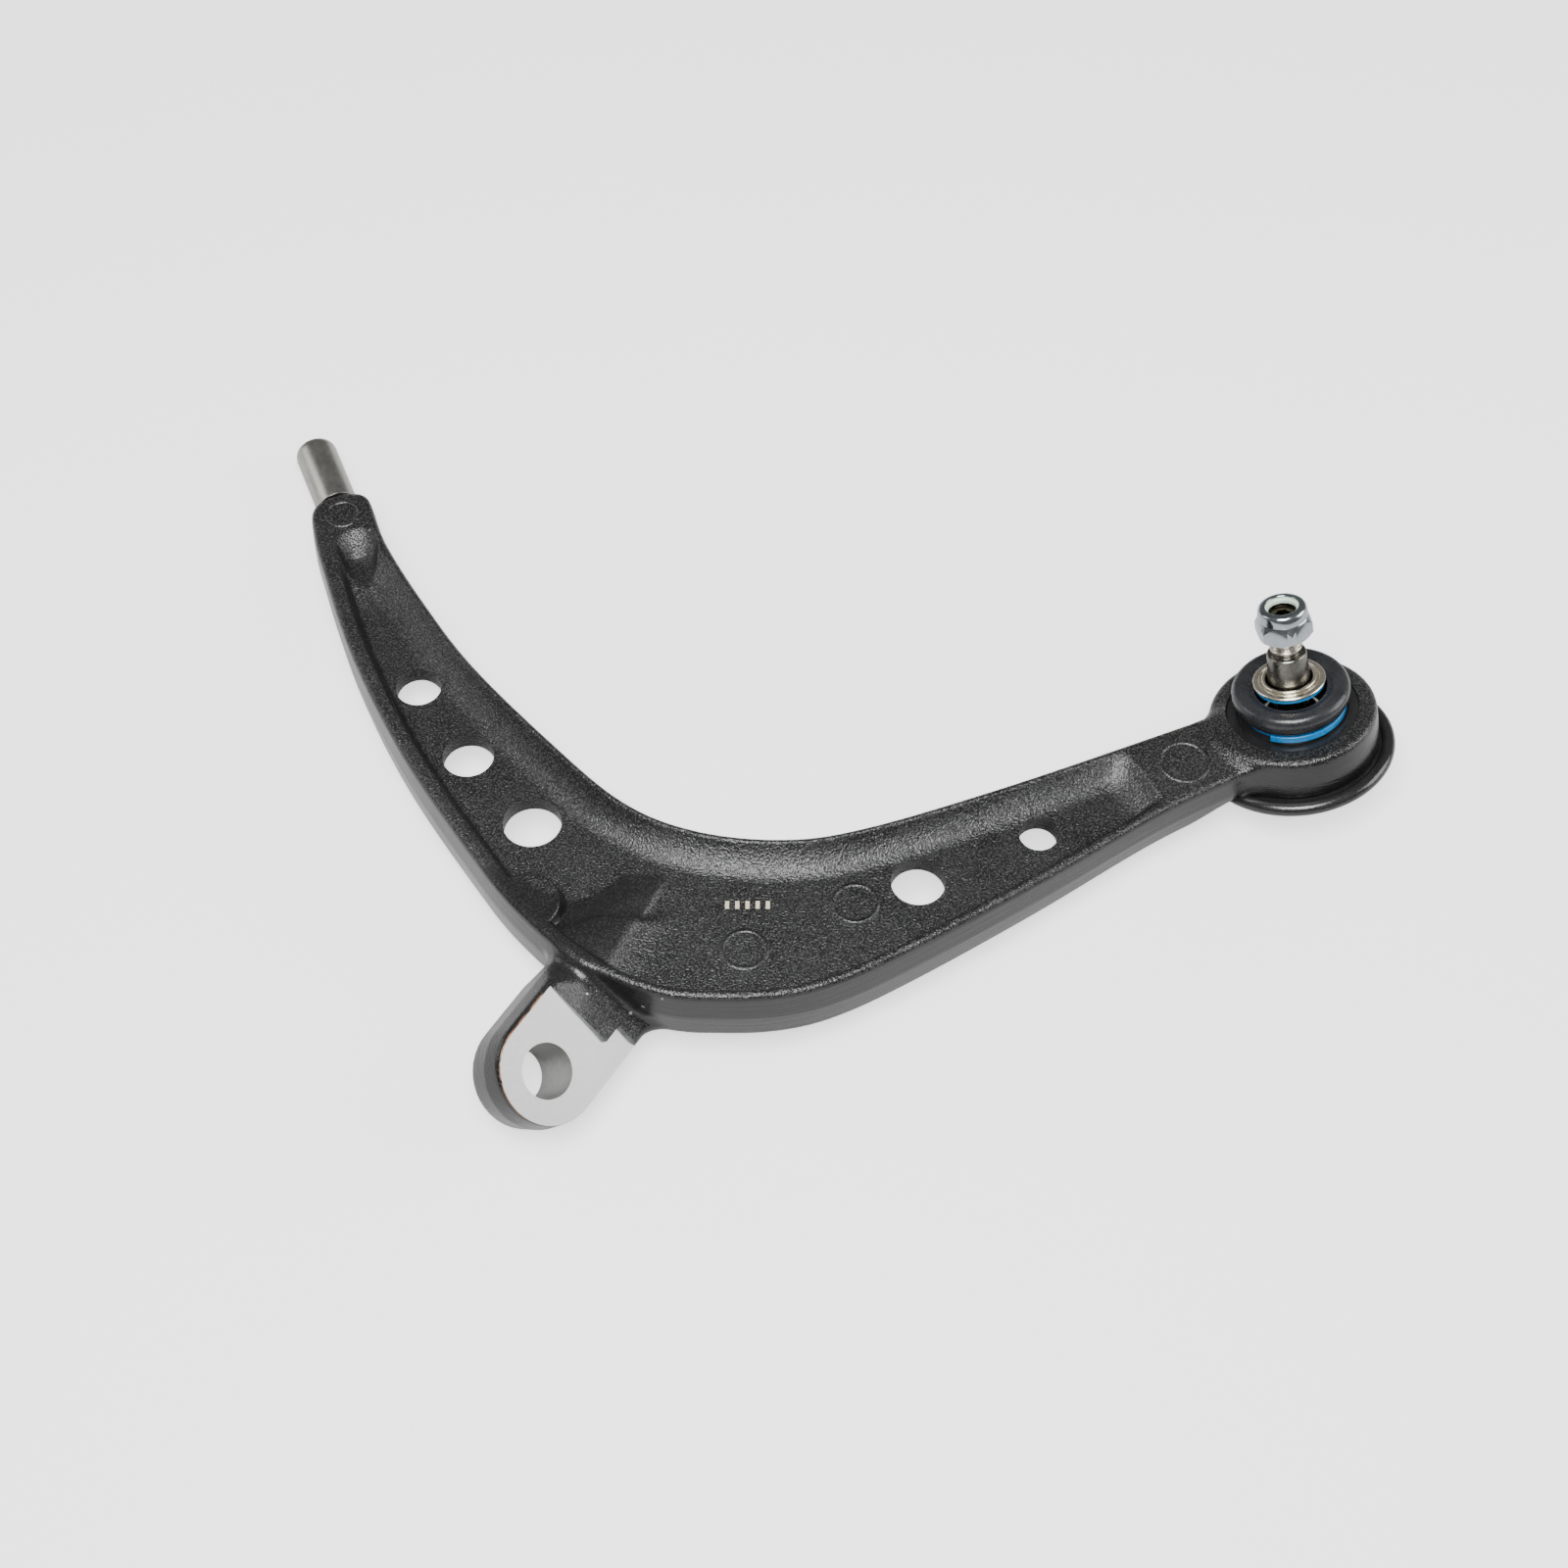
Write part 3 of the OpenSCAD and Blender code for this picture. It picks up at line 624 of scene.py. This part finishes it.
def finish_faces(obj):
    """Names each face cast, milled or bored from where it lies, and gives each corner its true normal:
    the gradient on cast skin, the plane's on milled faces and the radius in bores."""
    mesh = obj.data
    n_polys = len(mesh.polygons)
    near, on_wall = 0.02, 0.06
    co = points_of(obj) / MM
    face_normal = read(mesh.polygons, "normal", 3)
    centre = read(mesh.polygons, "center", 3).astype(float) / MM
    loop_vertex = read(mesh.loops, "vertex_index", kind=np.int32)
    loop_face = np.repeat(np.arange(n_polys), read(mesh.polygons, "loop_total", kind=np.int32))
    on_lug = centre @ lug_turned
    near_lug = (np.hypot(on_lug[:, 0], on_lug[:, 1]) < 45)
    plane = near_lug & (np.abs(on_lug[:, 2]) < near) & (face_normal @ lug_turned[:, 2] > 0.99)
    step_wall = near_lug & (on_lug[:, 2] > 0) & (
        (np.abs(on_lug[:, 0] - shoulder_x) < near) | (np.abs(on_lug[:, 0] - notch_x) < near)
        | ((np.abs(on_lug[:, 1] - notch_y) < near) & (on_lug[:, 0] > shoulder_x)))
    bored = near_lug & (off_cylinder(on_lug, 0, 0, lug_bore) < on_wall)
    seat = off_cylinder((centre - ball_centre) @ joint_turned, 0, 0, housing_r) < on_wall
    holes = [off_cylinder(centre, x, y, d / 2) < 0.05 for x, y, d in lightening_holes]
    flat = plane | step_wall | bored | seat | (np.any(holes, axis=0) & (np.abs(face_normal[:, 2]) < near))
    skin_normal = slope(casting, co, 0.6)
    skin_normal /= np.maximum(np.linalg.norm(skin_normal, axis=1, keepdims=True), 1e-6)
    corner = skin_normal[loop_vertex]
    hard = flat[loop_face]
    corner[hard] = face_normal[loop_face][hard]
    for axis_turned, middle, mask in [(lug_turned, np.zeros(3), bored), (joint_turned, ball_centre, seat)]:
        pick = mask[loop_face]
        local = (co[loop_vertex[pick]] - middle) @ axis_turned
        local[:, 2] = 0
        corner[pick] = -(local / np.linalg.norm(local, axis=1, keepdims=True)) @ axis_turned.T
    for (x, y, _), hole in zip(lightening_holes, holes):
        wall = hard & hole[loop_face]
        away = co[loop_vertex[wall]] - (x, y, 0)
        away[:, 2] = 0
        corner[wall] = -away / np.linalg.norm(away, axis=1, keepdims=True)
    grain = mesh.attributes.new("grain", "FLOAT", "POINT")
    level = ramp(0.35, 0.8, np.abs(skin_normal[:, 2]))
    smoothed = (co[:, 2] > 0) * ramp(0.0, 4.0, inside_gusset(co[:, 0], co[:, 1]))
    least_grain, gusset_share = 0.15, 0.7
    share = least_grain + (1 - least_grain) * level * (1 - gusset_share * smoothed)
    grain.data.foreach_set("value", share.astype(np.float32))
    bare = (plane | step_wall | bored).astype(np.int32) + bored
    mesh.polygons.foreach_set("material_index", bare.astype(np.int32))
    mesh.polygons.foreach_set("use_smooth", np.ones(n_polys, bool))
    mesh.normals_split_custom_set(corner.astype(np.float32).tolist())


finish_faces(arm)
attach(arm, "arm")
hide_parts("arm_body")


# ---- Rear pin ----
# A bare steel pin pressed into the neck, ground round for the rear bush. Its
# outer end is rounded over so that the bush starts on it easily.
def turned(name, profile, axes_turned, centre, materials, sides=128, shape=None):
    """Solid of revolution in mm: each profile point (r, z) goes round a frame's Z axis as
    (r cos a, r sin a, z). A shape function may change r and z by the angle a. Points on the axis close
    to one pole, and faces turn outwards whichever way the profile runs."""
    p = np.asarray(profile, float)
    loop = np.allclose(p[0], p[-1])
    a = np.arange(sides) * 2 * np.pi / sides
    r = np.repeat(p[:, :1], sides, 1)
    z = np.repeat(p[:, 1:2], sides, 1)
    if shape is not None:
        r, z = shape(r, z, a[None, :])
    grid = np.stack([r * np.cos(a), r * np.sin(a), z], -1)
    index = np.arange(r.size).reshape(r.shape)
    index = np.where(r < 1e-9, index[:, :1], index)
    if loop:
        index[-1] = index[0]
    lower, upper = index[:-1], index[1:]
    quads = np.stack([lower, np.roll(lower, -1, 1), np.roll(upper, -1, 1), upper], -1).reshape(-1, 4)
    faces = np.vstack([quads[:, [0, 1, 2]], quads[:, [0, 2, 3]]])
    faces = faces[(faces[:, 0] != faces[:, 1]) & (faces[:, 1] != faces[:, 2]) & (faces[:, 2] != faces[:, 0])]
    area = np.sum(p[:-1, 0] * p[1:, 1] - p[1:, 0] * p[:-1, 1]) + p[-1, 0] * p[0, 1] - p[0, 0] * p[-1, 1]
    if area < 0:
        faces = faces[:, ::-1]
    used, faces = np.unique(faces, return_inverse=True)
    points = grid.reshape(-1, 3)[used] @ axes_turned.T + centre
    obj = mesh_object(name, points, faces.reshape(-1, 3), materials)
    obj.data.polygons.foreach_set("use_smooth", np.ones(len(obj.data.polygons), bool))
    obj.data.set_sharp_from_angle(angle=np.radians(33))
    return obj


def rounded(rows, steps=5):
    """Profile with rounded corners: each row (r, z, reach) becomes a quadratic curve between the points
    that lie that reach before and after the corner; a reach of 0 keeps the corner."""
    rows = np.asarray(rows, float)
    p, out = rows[:, :2], []
    for i, reach in enumerate(rows[:, 2]):
        if reach == 0 or i in (0, len(p) - 1):
            out.append(p[i:i + 1])
            continue
        back, on = p[i - 1] - p[i], p[i + 1] - p[i]
        start = p[i] + back * min(reach / np.linalg.norm(back), 0.5)
        end = p[i] + on * min(reach / np.linalg.norm(on), 0.5)
        t = np.linspace(0, 1, steps + 1)[:, None]
        out.append((1 - t) ** 2 * start + 2 * t * (1 - t) * p[i] + t ** 2 * end)
    return np.vstack(out)


def place_piece(obj, body, cad_node):
    """The piece rides a body and stands for a solid, whose own mesh it hides."""
    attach(obj, body)
    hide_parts(cad_node)


# Fine marks that run round an axis, as grinding and turning leave: noise along the axis only.
ring_marks, into, out = new_group("ring_marks", [
    ("Centre", "NodeSocketVector", (0, 0, 0)), ("Axis", "NodeSocketVector", (0, 0, 1)),
    ("Per Metre", "NodeSocketFloat", 4000.0)], [("Height", "NodeSocketFloat"), ("Along", "NodeSocketFloat")])
where = node(ring_marks, "ShaderNodeTexCoord").outputs["Object"]
from_centre = node(ring_marks, "ShaderNodeVectorMath", {0: where, 1: into.outputs["Centre"]},
                   operation="SUBTRACT").outputs[0]
along = node(ring_marks, "ShaderNodeVectorMath", {0: from_centre, 1: into.outputs["Axis"]},
             operation="DOT_PRODUCT").outputs["Value"]
marks = node(ring_marks, "ShaderNodeTexNoise", {
    "W": sums(ring_marks, "MULTIPLY", along, into.outputs["Per Metre"]), "Scale": 1.0, "Detail": 3.0,
    "Roughness": 0.7}, noise_dimensions="1D").outputs["Fac"]
ring_marks.links.new(marks, out.inputs["Height"])
ring_marks.links.new(along, out.inputs["Along"])


def give_rings(tree, axis, centre, per_metre):
    """Places the ring marks about an axis through a centre, and returns the group's outputs."""
    return place_group(tree, ring_marks, {
        "Axis": tuple(axis), "Centre": tuple(np.asarray(centre) * MM), "Per Metre": per_metre})


pin_r, pin_length, shank_r, shank_length = 8.5, 35.0, 6.0, 26.0
pin_axes = pin_turned @ turn_y(90)
ground_steel, tree, shader = finish_material("ground_steel", (0.5, 0.49, 0.46), 0.33, metallic=1.0)
pin_skin = give_finish(tree, shader, (0.47, 0.46, 0.43), (0.36, 0.35, 0.32), 0.27, 0.38, 600.0, 90.0)
rings = give_rings(tree, pin_axes[:, 2], pin_root, 7000.0)
give_bump(tree, shader, sums(tree, "MULTIPLY_ADD", rings["Height"], 0.8, sums(
    tree, "MULTIPLY", pin_skin, 0.2)), 0.00003)
rear_pin = turned("rear_pin_ground", rounded([
    (0, -shank_length, 0), (shank_r, -shank_length, 0.5), (shank_r, 0.0, 0), (pin_r, 0.0, 0.2),
    (pin_r, pin_length - 3.2, 1.2), (pin_r - 0.7, pin_length - 1.1, 1.0), (pin_r - 2.4, pin_length, 1.2),
    (0, pin_length, 0)]), pin_axes, pin_root, [ground_steel])
place_piece(rear_pin, "arm", "rear_pin")


# ---- Ball joint housing ----
# A pressed steel cup, black coated. Its rim lies in the boss's top face, its
# rolled flange bears under the boss and its barrel is crimped over a cover.
flange_roll, flange_roll_r, flange_roll_z = 34.8, 2.7, -10.8
flange_under, boss_under = -11.8, boss_bottom_z
sweep = np.radians(np.linspace(-158.3, 153.6, 40))
roll_arc = np.stack([flange_roll + flange_roll_r * np.cos(sweep),
                     flange_roll_z + flange_roll_r * np.sin(sweep)], 1)
cup_start = rounded([(16.8, -18.0, 0), (16.8, -19.2, 0.3), (20.6, -19.2, 0.8), (21.0, -18.2, 0.6),
                     (21.0, flange_under, 1.6), (31.5, flange_under, 0.8), (*roll_arc[0], 0)])
cup_end = rounded([(*roll_arc[-1], 0), (31.9, boss_under, 0), (housing_r, boss_under, 0),
                   (housing_r, rim_z - 0.45, 0.7), (20.7, rim_z - 0.45, 0.5), (20.7, 7.5, 0.2),
                   (17.6, 7.5, 0.2), (17.6, 12.0, 0.2), (15.0, 12.0, 0.5), (11.2, 6.9, 0.2), (17.0, 6.9, 0),
                   (17.0, -16.2, 0), (18.3, -16.2, 0), (18.3, -18.0, 0), (16.8, -18.0, 0)])
black_steel = plain_finish("black_steel", (0.012, 0.012, 0.012), 0.22, (
    (0.016, 0.016, 0.016), (0.008, 0.008, 0.008), 0.16, 0.27, 900.0, 50.0), 0.00005, Specular_IOR_Level=0.55)
housing = turned("joint_cup", np.vstack([cup_start, roll_arc[1:-1], cup_end]), joint_turned, ball_centre,
                 [black_steel], sides=160)
place_piece(housing, "arm", "joint_housing")

# ---- Bearing shell, pad and cover ----
# Inside the cup a plastic shell holds the ball on a rubber pad, and a zinc-plated
# pressed cover closes the barrel from below.
bearing_plastic = plain_finish("bearing_plastic", (0.8, 0.78, 0.7), 0.35, (
    (0.82, 0.8, 0.72), (0.74, 0.72, 0.64), 0.3, 0.42), 0.00003)
pad_rubber = plain_finish("pad_rubber", (0.02, 0.02, 0.02), 0.7, (
    (0.028, 0.028, 0.028), (0.018, 0.018, 0.018), 0.6, 0.8), 0.00005)
for cad_name, finish in (("bearing_shell", bearing_plastic), ("pressure_pad", pad_rubber)):
    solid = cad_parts[cad_name]
    solid.data.materials.clear()
    solid.data.materials.append(finish)
plated_steel = plain_finish("plated_steel", (0.55, 0.56, 0.57), 0.3, (
    (0.6, 0.61, 0.62), (0.45, 0.46, 0.47), 0.25, 0.42, 500.0, 70.0), 0.00004, metallic=1.0)
cover = turned("pressed_cover", rounded([
    (0, -17.2, 0), (7.0, -17.2, 1.2), (8.4, -17.95, 1.0), (14.2, -17.95, 0.8), (15.4, -17.5, 0.8),
    (18.3, -17.95, 0.1), (18.3, -16.2, 0.1), (0, -16.2, 0)]), joint_turned, ball_centre, [plated_steel])
place_piece(cover, "arm", "closing_cover")


# ---- Boot rings ----
# Two glossy blue clamp rings hold the boot: a split one round its lower collar,
# whose end overlaps and stands out a little, and a small one under the washer.
blue_plastic = plain_finish("blue_plastic", (0.005, 0.16, 0.42), 0.25, (
    (0.008, 0.19, 0.46), (0.004, 0.13, 0.36), 0.2, 0.32, 700.0, 80.0), 0.00003, coat=0.3)
collar_r, lower_ring_r, lower_ring_z, lower_ring_h = 19.1, 20.4, 9.4, 2.8
lower_ring_top = lower_ring_z + lower_ring_h
overlap_from, overlap_to, step_in, height_lost = 104.0, 260.0, 1.1, 0.6


def overlapped(r, z, a):
    """Outside the overlap the ring's outer side steps in and its underside rises towards its top, over
    about a degree."""
    degrees = np.degrees(a)
    full = ramp(overlap_from - 1, overlap_from, degrees) * (1 - ramp(overlap_to, overlap_to + 1, degrees))
    below_top = (lower_ring_z + lower_ring_h - z) * (1 - height_lost * (1 - full))
    return np.where(r > collar_r + 0.6, r - step_in * (1 - full), r), lower_ring_top - below_top


lower_ring = turned("lower_clamp_ring", rounded([
    (collar_r + 0.1, lower_ring_z, 0), (lower_ring_r, lower_ring_z, 0.5),
    (lower_ring_r, lower_ring_top, 0.5), (collar_r + 0.1, lower_ring_top, 0),
    (collar_r + 0.1, lower_ring_z, 0)]), joint_turned, ball_centre, [blue_plastic], sides=360,
    shape=overlapped)
place_piece(lower_ring, "arm", "lower_boot_ring")
upper_ring = turned("upper_clamp_ring", rounded([
    (12.3, 20.0, 0.3), (13.2, 20.0, 0.3), (13.2, 21.3, 0.3), (12.3, 21.3, 0.3), (12.3, 20.0, 0)]),
    stud_turned, ball_centre, [blue_plastic])
place_piece(upper_ring, "boot_cap", "upper_boot_ring")

# ---- Dust boot ----
# Moulded rubber, hollow and about 1.5 mm thick: a collar in the cup's groove, a fat
# bulge, and a lip round the ring under the washer. Two halves meet at its widest line.
boot_rubber = plain_finish("boot_rubber", (0.016, 0.017, 0.018), 0.3, (
    (0.02, 0.021, 0.023), (0.012, 0.0125, 0.014), 0.24, 0.34, 800.0, 120.0), 0.00005, Specular_IOR_Level=0.5)
widest_r, widest_z, boot_wall = 22.2, 18.1, 1.5
lower_half = rounded([
    (17.7, 7.6, 0.2), (collar_r, 7.6, 0.2), (collar_r, 12.6, 0.5), (20.6, 13.3, 1.2), (21.8, 15.7, 1.4),
    (widest_r, widest_z, 0), (widest_r - boot_wall, widest_z, 0), (20.4, 16.3, 1.2), (19.6, 14.8, 1.0),
    (17.7, 14.0, 0.6), (17.7, 7.6, 0)], steps=6)
upper_half = rounded([
    (widest_r - boot_wall, widest_z, 0), (widest_r, widest_z, 0), (22.0, 19.9, 1.6), (20.6, 21.5, 1.6),
    (18.2, 21.75, 1.6), (16.0, 20.9, 1.4), (14.6, 20.0, 0.8), (13.55, 20.0, 0.3), (13.55, 18.6, 0.3),
    (15.6, 18.7, 1.0), (17.4, 20.0, 1.2), (19.3, 20.0, 1.2), (20.7, 18.8, 1.0),
    (widest_r - boot_wall, widest_z, 0)], steps=6)


boot_low = turned("boot_lower_half", lower_half, joint_turned, ball_centre, [boot_rubber])
boot_high = turned("boot_upper_half", upper_half, joint_turned, ball_centre, [boot_rubber])
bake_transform(boot_low)
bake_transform(boot_high)
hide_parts("dust_boot")
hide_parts("dust_boot")

# ---- Boot washer ----
# A pressed washer that closes the boot: yellowish plating, a broad flat band with its
# edge turned down, a groove, and a raised lip round the stud.
plated_washer, tree, shader = finish_material("plated_washer", (0.78, 0.72, 0.58), 0.28, metallic=1.0)
washer_skin = give_finish(tree, shader, (0.86, 0.81, 0.69), (0.8, 0.74, 0.6), 0.2, 0.28, 900.0, 60.0)
stud_up = stud_turned[:, 2]
give_bump(tree, shader, washer_skin, 0.000008)
washer = turned("boot_washer_pressed", rounded([
    (8.7, 21.4, 0.2), (13.5, 21.4, 0.4), (13.8, 21.9, 0.3), (13.4, 22.6, 0.5), (11.5, 22.6, 0.3),
    (11.0, 21.9, 0.3), (10.5, 21.9, 0.3), (10.3, 23.0, 0.4), (9.9, 23.4, 0.3), (9.1, 23.3, 0.3),
    (8.7, 22.6, 0.3), (8.7, 21.4, 0)]), stud_turned, ball_centre, [plated_washer])
place_piece(washer, "boot_cap", "boot_washer")

# ---- Ball stud ----
# One turned steel piece: the ball, a neck inside the boot, the taper for the wheel
# carrier, an undercut and an M12 thread with a hexagon socket in its end.
ball_r, neck_r, seat_z = 12.5, 6.5, 18.2
taper_r, taper_top_r, washer_top, taper_end = 7.95, 7.4, 22.6, 35.0
thread_r, pitch, thread_depth, stud_end = 6.0, 1.5, 0.7, 52.1
socket_r, socket_bottom = 2.9, 48.3
stud_steel, tree, shader = finish_material("stud_steel", (0.3, 0.28, 0.25), 0.3, metallic=1.0)
stud_skin = give_finish(tree, shader, (0.19, 0.185, 0.17), (0.13, 0.125, 0.11), 0.22, 0.3, 700.0, 70.0)
rings = give_rings(tree, stud_up, ball_centre, 1300.0)
give_bump(tree, shader, sums(tree, "MULTIPLY_ADD", rings["Height"], 0.7, sums(
    tree, "MULTIPLY", stud_skin, 0.3)), 0.000015)
steel_color = shader.inputs["Base Color"].links[0].from_socket
threads = node(tree, "ShaderNodeMapRange", {"Value": rings["Along"], "From Min": (taper_end + 0.6) * MM,
                                            "From Max": (taper_end + 1.4) * MM}).outputs[0]
# Darker brown from 44 mm to the stud's end, the part that sits inside the nut.
dark_end = node(tree, "ShaderNodeMapRange", {"Value": rings["Along"], "From Min": 44 * MM,
                                             "From Max": 47 * MM}).outputs[0]
brighter = tinted(tree, sums(tree, "MULTIPLY", threads, sums(tree, "SUBTRACT", 1.0, dark_end)),
                  steel_color, (0.52, 0.47, 0.39))
darker_end_color = tinted(tree, sums(tree, "MULTIPLY", dark_end, 0.85), brighter, (0.07, 0.05, 0.035))
tree.links.new(darker_end_color, shader.inputs["Base Color"])


def threaded(r, z, a):
    """Thread: the radius falls by a rounded triangle wave of height less turn times pitch, faded in over one
    pitch. Socket: rows inside it take a hexagon's radius."""
    wave = np.abs(((z / pitch - a / (2 * np.pi)) % 1.0) * 2 - 1)
    cut = thread_depth * np.clip(wave * 1.25 - 0.1, 0, 1)
    on_thread = ramp(taper_end + 2.0, taper_end + 3.5, z) * (1 - ramp(stud_end - 1.6, stud_end - 0.9, z))
    cut = cut * on_thread * (r > thread_r - 0.01)
    sixth = (a + np.pi / 6) % (np.pi / 3) - np.pi / 6
    return np.where((r == socket_r) & (z > 0), socket_r * np.cos(np.pi / 6) / np.cos(sixth), r - cut), z


ball_arc = np.radians(np.linspace(-62, 53, 40))
ball_rows = np.stack([ball_r * np.cos(ball_arc), ball_r * np.sin(ball_arc)], 1)
shank_rows = rounded([
    (7.5, 10.0, 0), (neck_r, 11.2, 1.0), (neck_r, 15.0, 1.2), (taper_r, seat_z, 0.8),
    (taper_r, washer_top + 0.4, 0.3), (taper_top_r, taper_end - 0.5, 0.3),
    (taper_top_r - 0.5, taper_end, 0.2), (5.0, taper_end, 0.3), (5.0, taper_end + 1.2, 0.3),
    (thread_r, taper_end + 2.2, 0.2)])
thread_z = np.arange(taper_end + 2.3, stud_end - 1.0, 0.12)
thread_rows = np.stack([np.full(len(thread_z), thread_r), thread_z], 1)
end_rows = np.array([(thread_r, stud_end - 1.0), (5.0, stud_end), (3.6, stud_end), (socket_r, stud_end),
                     (socket_r, socket_bottom), (0, socket_bottom - 1.0)])
stud_rows = np.vstack([[(0, ball_rows[0, 1])], ball_rows, shank_rows, thread_rows, end_rows])
stud = turned("turned_stud", stud_rows, stud_turned, ball_centre, [stud_steel], sides=120, shape=threaded)
place_piece(stud, "stud", "ball_stud")


# ---- Lock nut ----
# A bright zinc-plated M12 nut: a hexagon chamfered at both ends, and above it a
# round collar whose lip is rolled in over a nylon insert.
nut_z, nut_flats = 43.1, 19.0
washer_face_r, flats_h, upper_slope, collar_out = 9.3, 7.9, 1.9, 9.25
bore_r, recess_r, recess_z = 6.05, 7.65, 10.0
nut_turned = np.radians(-24)
HEX_LOW, HEX_HIGH = -1.0, -2.0


def hexagonal(r, z, a):
    """Rows marked as the hexagon's two edges take its radius at each angle, and the height at which the
    chamfer's cone meets it there: z = r - face radius below, and flats' height - slope (r - flats) above."""
    sixth = (a - nut_turned + np.pi / 6) % (np.pi / 3) - np.pi / 6
    hexagon = nut_flats / 2 / np.cos(sixth)
    low, high = z == HEX_LOW, z == HEX_HIGH
    low_z = nut_z + hexagon - washer_face_r
    high_z = nut_z + flats_h - upper_slope * (hexagon - nut_flats / 2)
    return np.where(low | high, hexagon, r), np.where(low, low_z, np.where(high, high_z, z))


zinc_plate = plain_finish("zinc_plate", (0.66, 0.7, 0.72), 0.16, (
    (0.44, 0.475, 0.495), (0.32, 0.36, 0.385), 0.1, 0.22, 400.0, 90.0), 0.000025, metallic=1.0)
shoulder_z = nut_z + flats_h + 0.3
nut_foot = np.array([(bore_r, nut_z + 0.6), (bore_r + 0.7, nut_z), (washer_face_r, nut_z), (1.0, HEX_LOW),
                     (1.0, HEX_HIGH), (collar_out + 0.1, shoulder_z)])
nut_collar = rounded([
    (collar_out, shoulder_z + 0.15, 0), (collar_out, nut_z + 10.7, 1.2), (8.7, nut_z + 12.4, 1.0),
    (7.2, nut_z + 12.95, 0.8), (6.2, nut_z + 12.85, 0.3), (6.05, nut_z + 12.35, 0.25),
    (recess_r, nut_z + 12.2, 0.1), (recess_r, nut_z + recess_z, 0.1), (bore_r, nut_z + recess_z, 0.2),
    (bore_r, nut_z + 0.6, 0)])
nut = turned("zinc_lock_nut", np.vstack([nut_foot, nut_collar]), stud_turned, ball_centre, [zinc_plate],
             sides=180, shape=hexagonal)
place_piece(nut, "nut", "lock_nut")

nylon = plain_finish("nylon", (0.62, 0.72, 0.55), 0.35, (
    (0.66, 0.75, 0.6), (0.55, 0.64, 0.48), 0.3, 0.45, 600.0, 200.0), 0.00004, Subsurface_Weight=0.2)
insert = turned("insert_ring", rounded([
    (5.2, 53.3, 0.3), (7.6, 53.2, 0.1), (7.6, 55.2, 0.1), (6.2, 55.2, 0.5), (5.2, 54.6, 0.4),
    (5.2, 53.3, 0)]), stud_turned, ball_centre, [nylon])
place_piece(insert, "nut_carrier", "nylon_insert")


# ---- Table ----
# A pale table and backdrop. The arm rests on three points, the lowest of its lug, of its ball
# joint and of its neck; each pass finds them again for the plane through the last three.
underside = np.vstack([points_of(piece) for piece in (arm, rear_pin, housing, cover)])
near_lug_side = underside[underside[:, 1] < 30 * MM]
near_joint = underside[underside[:, 0] > 200 * MM]
near_neck = underside[underside[:, 1] > 200 * MM]
floor_up = np.array([0.0, 0.0, 1.0])
for _ in range(8):
    rests = [part[np.argmin(part @ floor_up)] for part in (near_lug_side, near_joint, near_neck)]
    floor_up = np.cross(rests[1] - rests[0], rests[2] - rests[0])
    floor_up /= np.linalg.norm(floor_up)
half_floor = 3.0
floor_turn = Vector((0, 0, 1)).rotation_difference(Vector(floor_up)).to_matrix()
floor_corners = [Vector(rests[0]) + floor_turn @ Vector((x * half_floor, y * half_floor, 0.0))
                 for x, y in ((-1, -1), (1, -1), (1, 1), (-1, 1))]
floor_mesh = bpy.data.meshes.new("floor")
floor_mesh.from_pydata([tuple(c) for c in floor_corners], [], [(0, 1, 2, 3)])
floor = bpy.data.objects.new("floor", floor_mesh)
bpy.context.collection.objects.link(floor)
paper, tree, shader = finish_material("table_paper", (0.55, 0.55, 0.55), 0.7)
# Camera rays see the table and the backdrop brighter than the pieces reflect them.
paper_glow, backdrop_glow, backdrop_light = 1.5, 1.65, 0.19
seen = node(tree, "ShaderNodeLightPath").outputs["Is Camera Ray"]
shader.inputs["Emission Color"].default_value = (1, 1, 1, 1)
tree.links.new(sums(tree, "MULTIPLY", seen, paper_glow), shader.inputs["Emission Strength"])
floor_mesh.materials.append(paper)
world = bpy.data.worlds.new("studio")
world.use_nodes = True
backdrop = world.node_tree.nodes["Background"]
backdrop.inputs["Color"].default_value = (1, 1, 1, 1)
seen = node(world.node_tree, "ShaderNodeLightPath").outputs["Is Camera Ray"]
world.node_tree.links.new(sums(world.node_tree, "MULTIPLY_ADD", seen, backdrop_glow, backdrop_light),
                          backdrop.inputs["Strength"])
bpy.context.scene.world = world
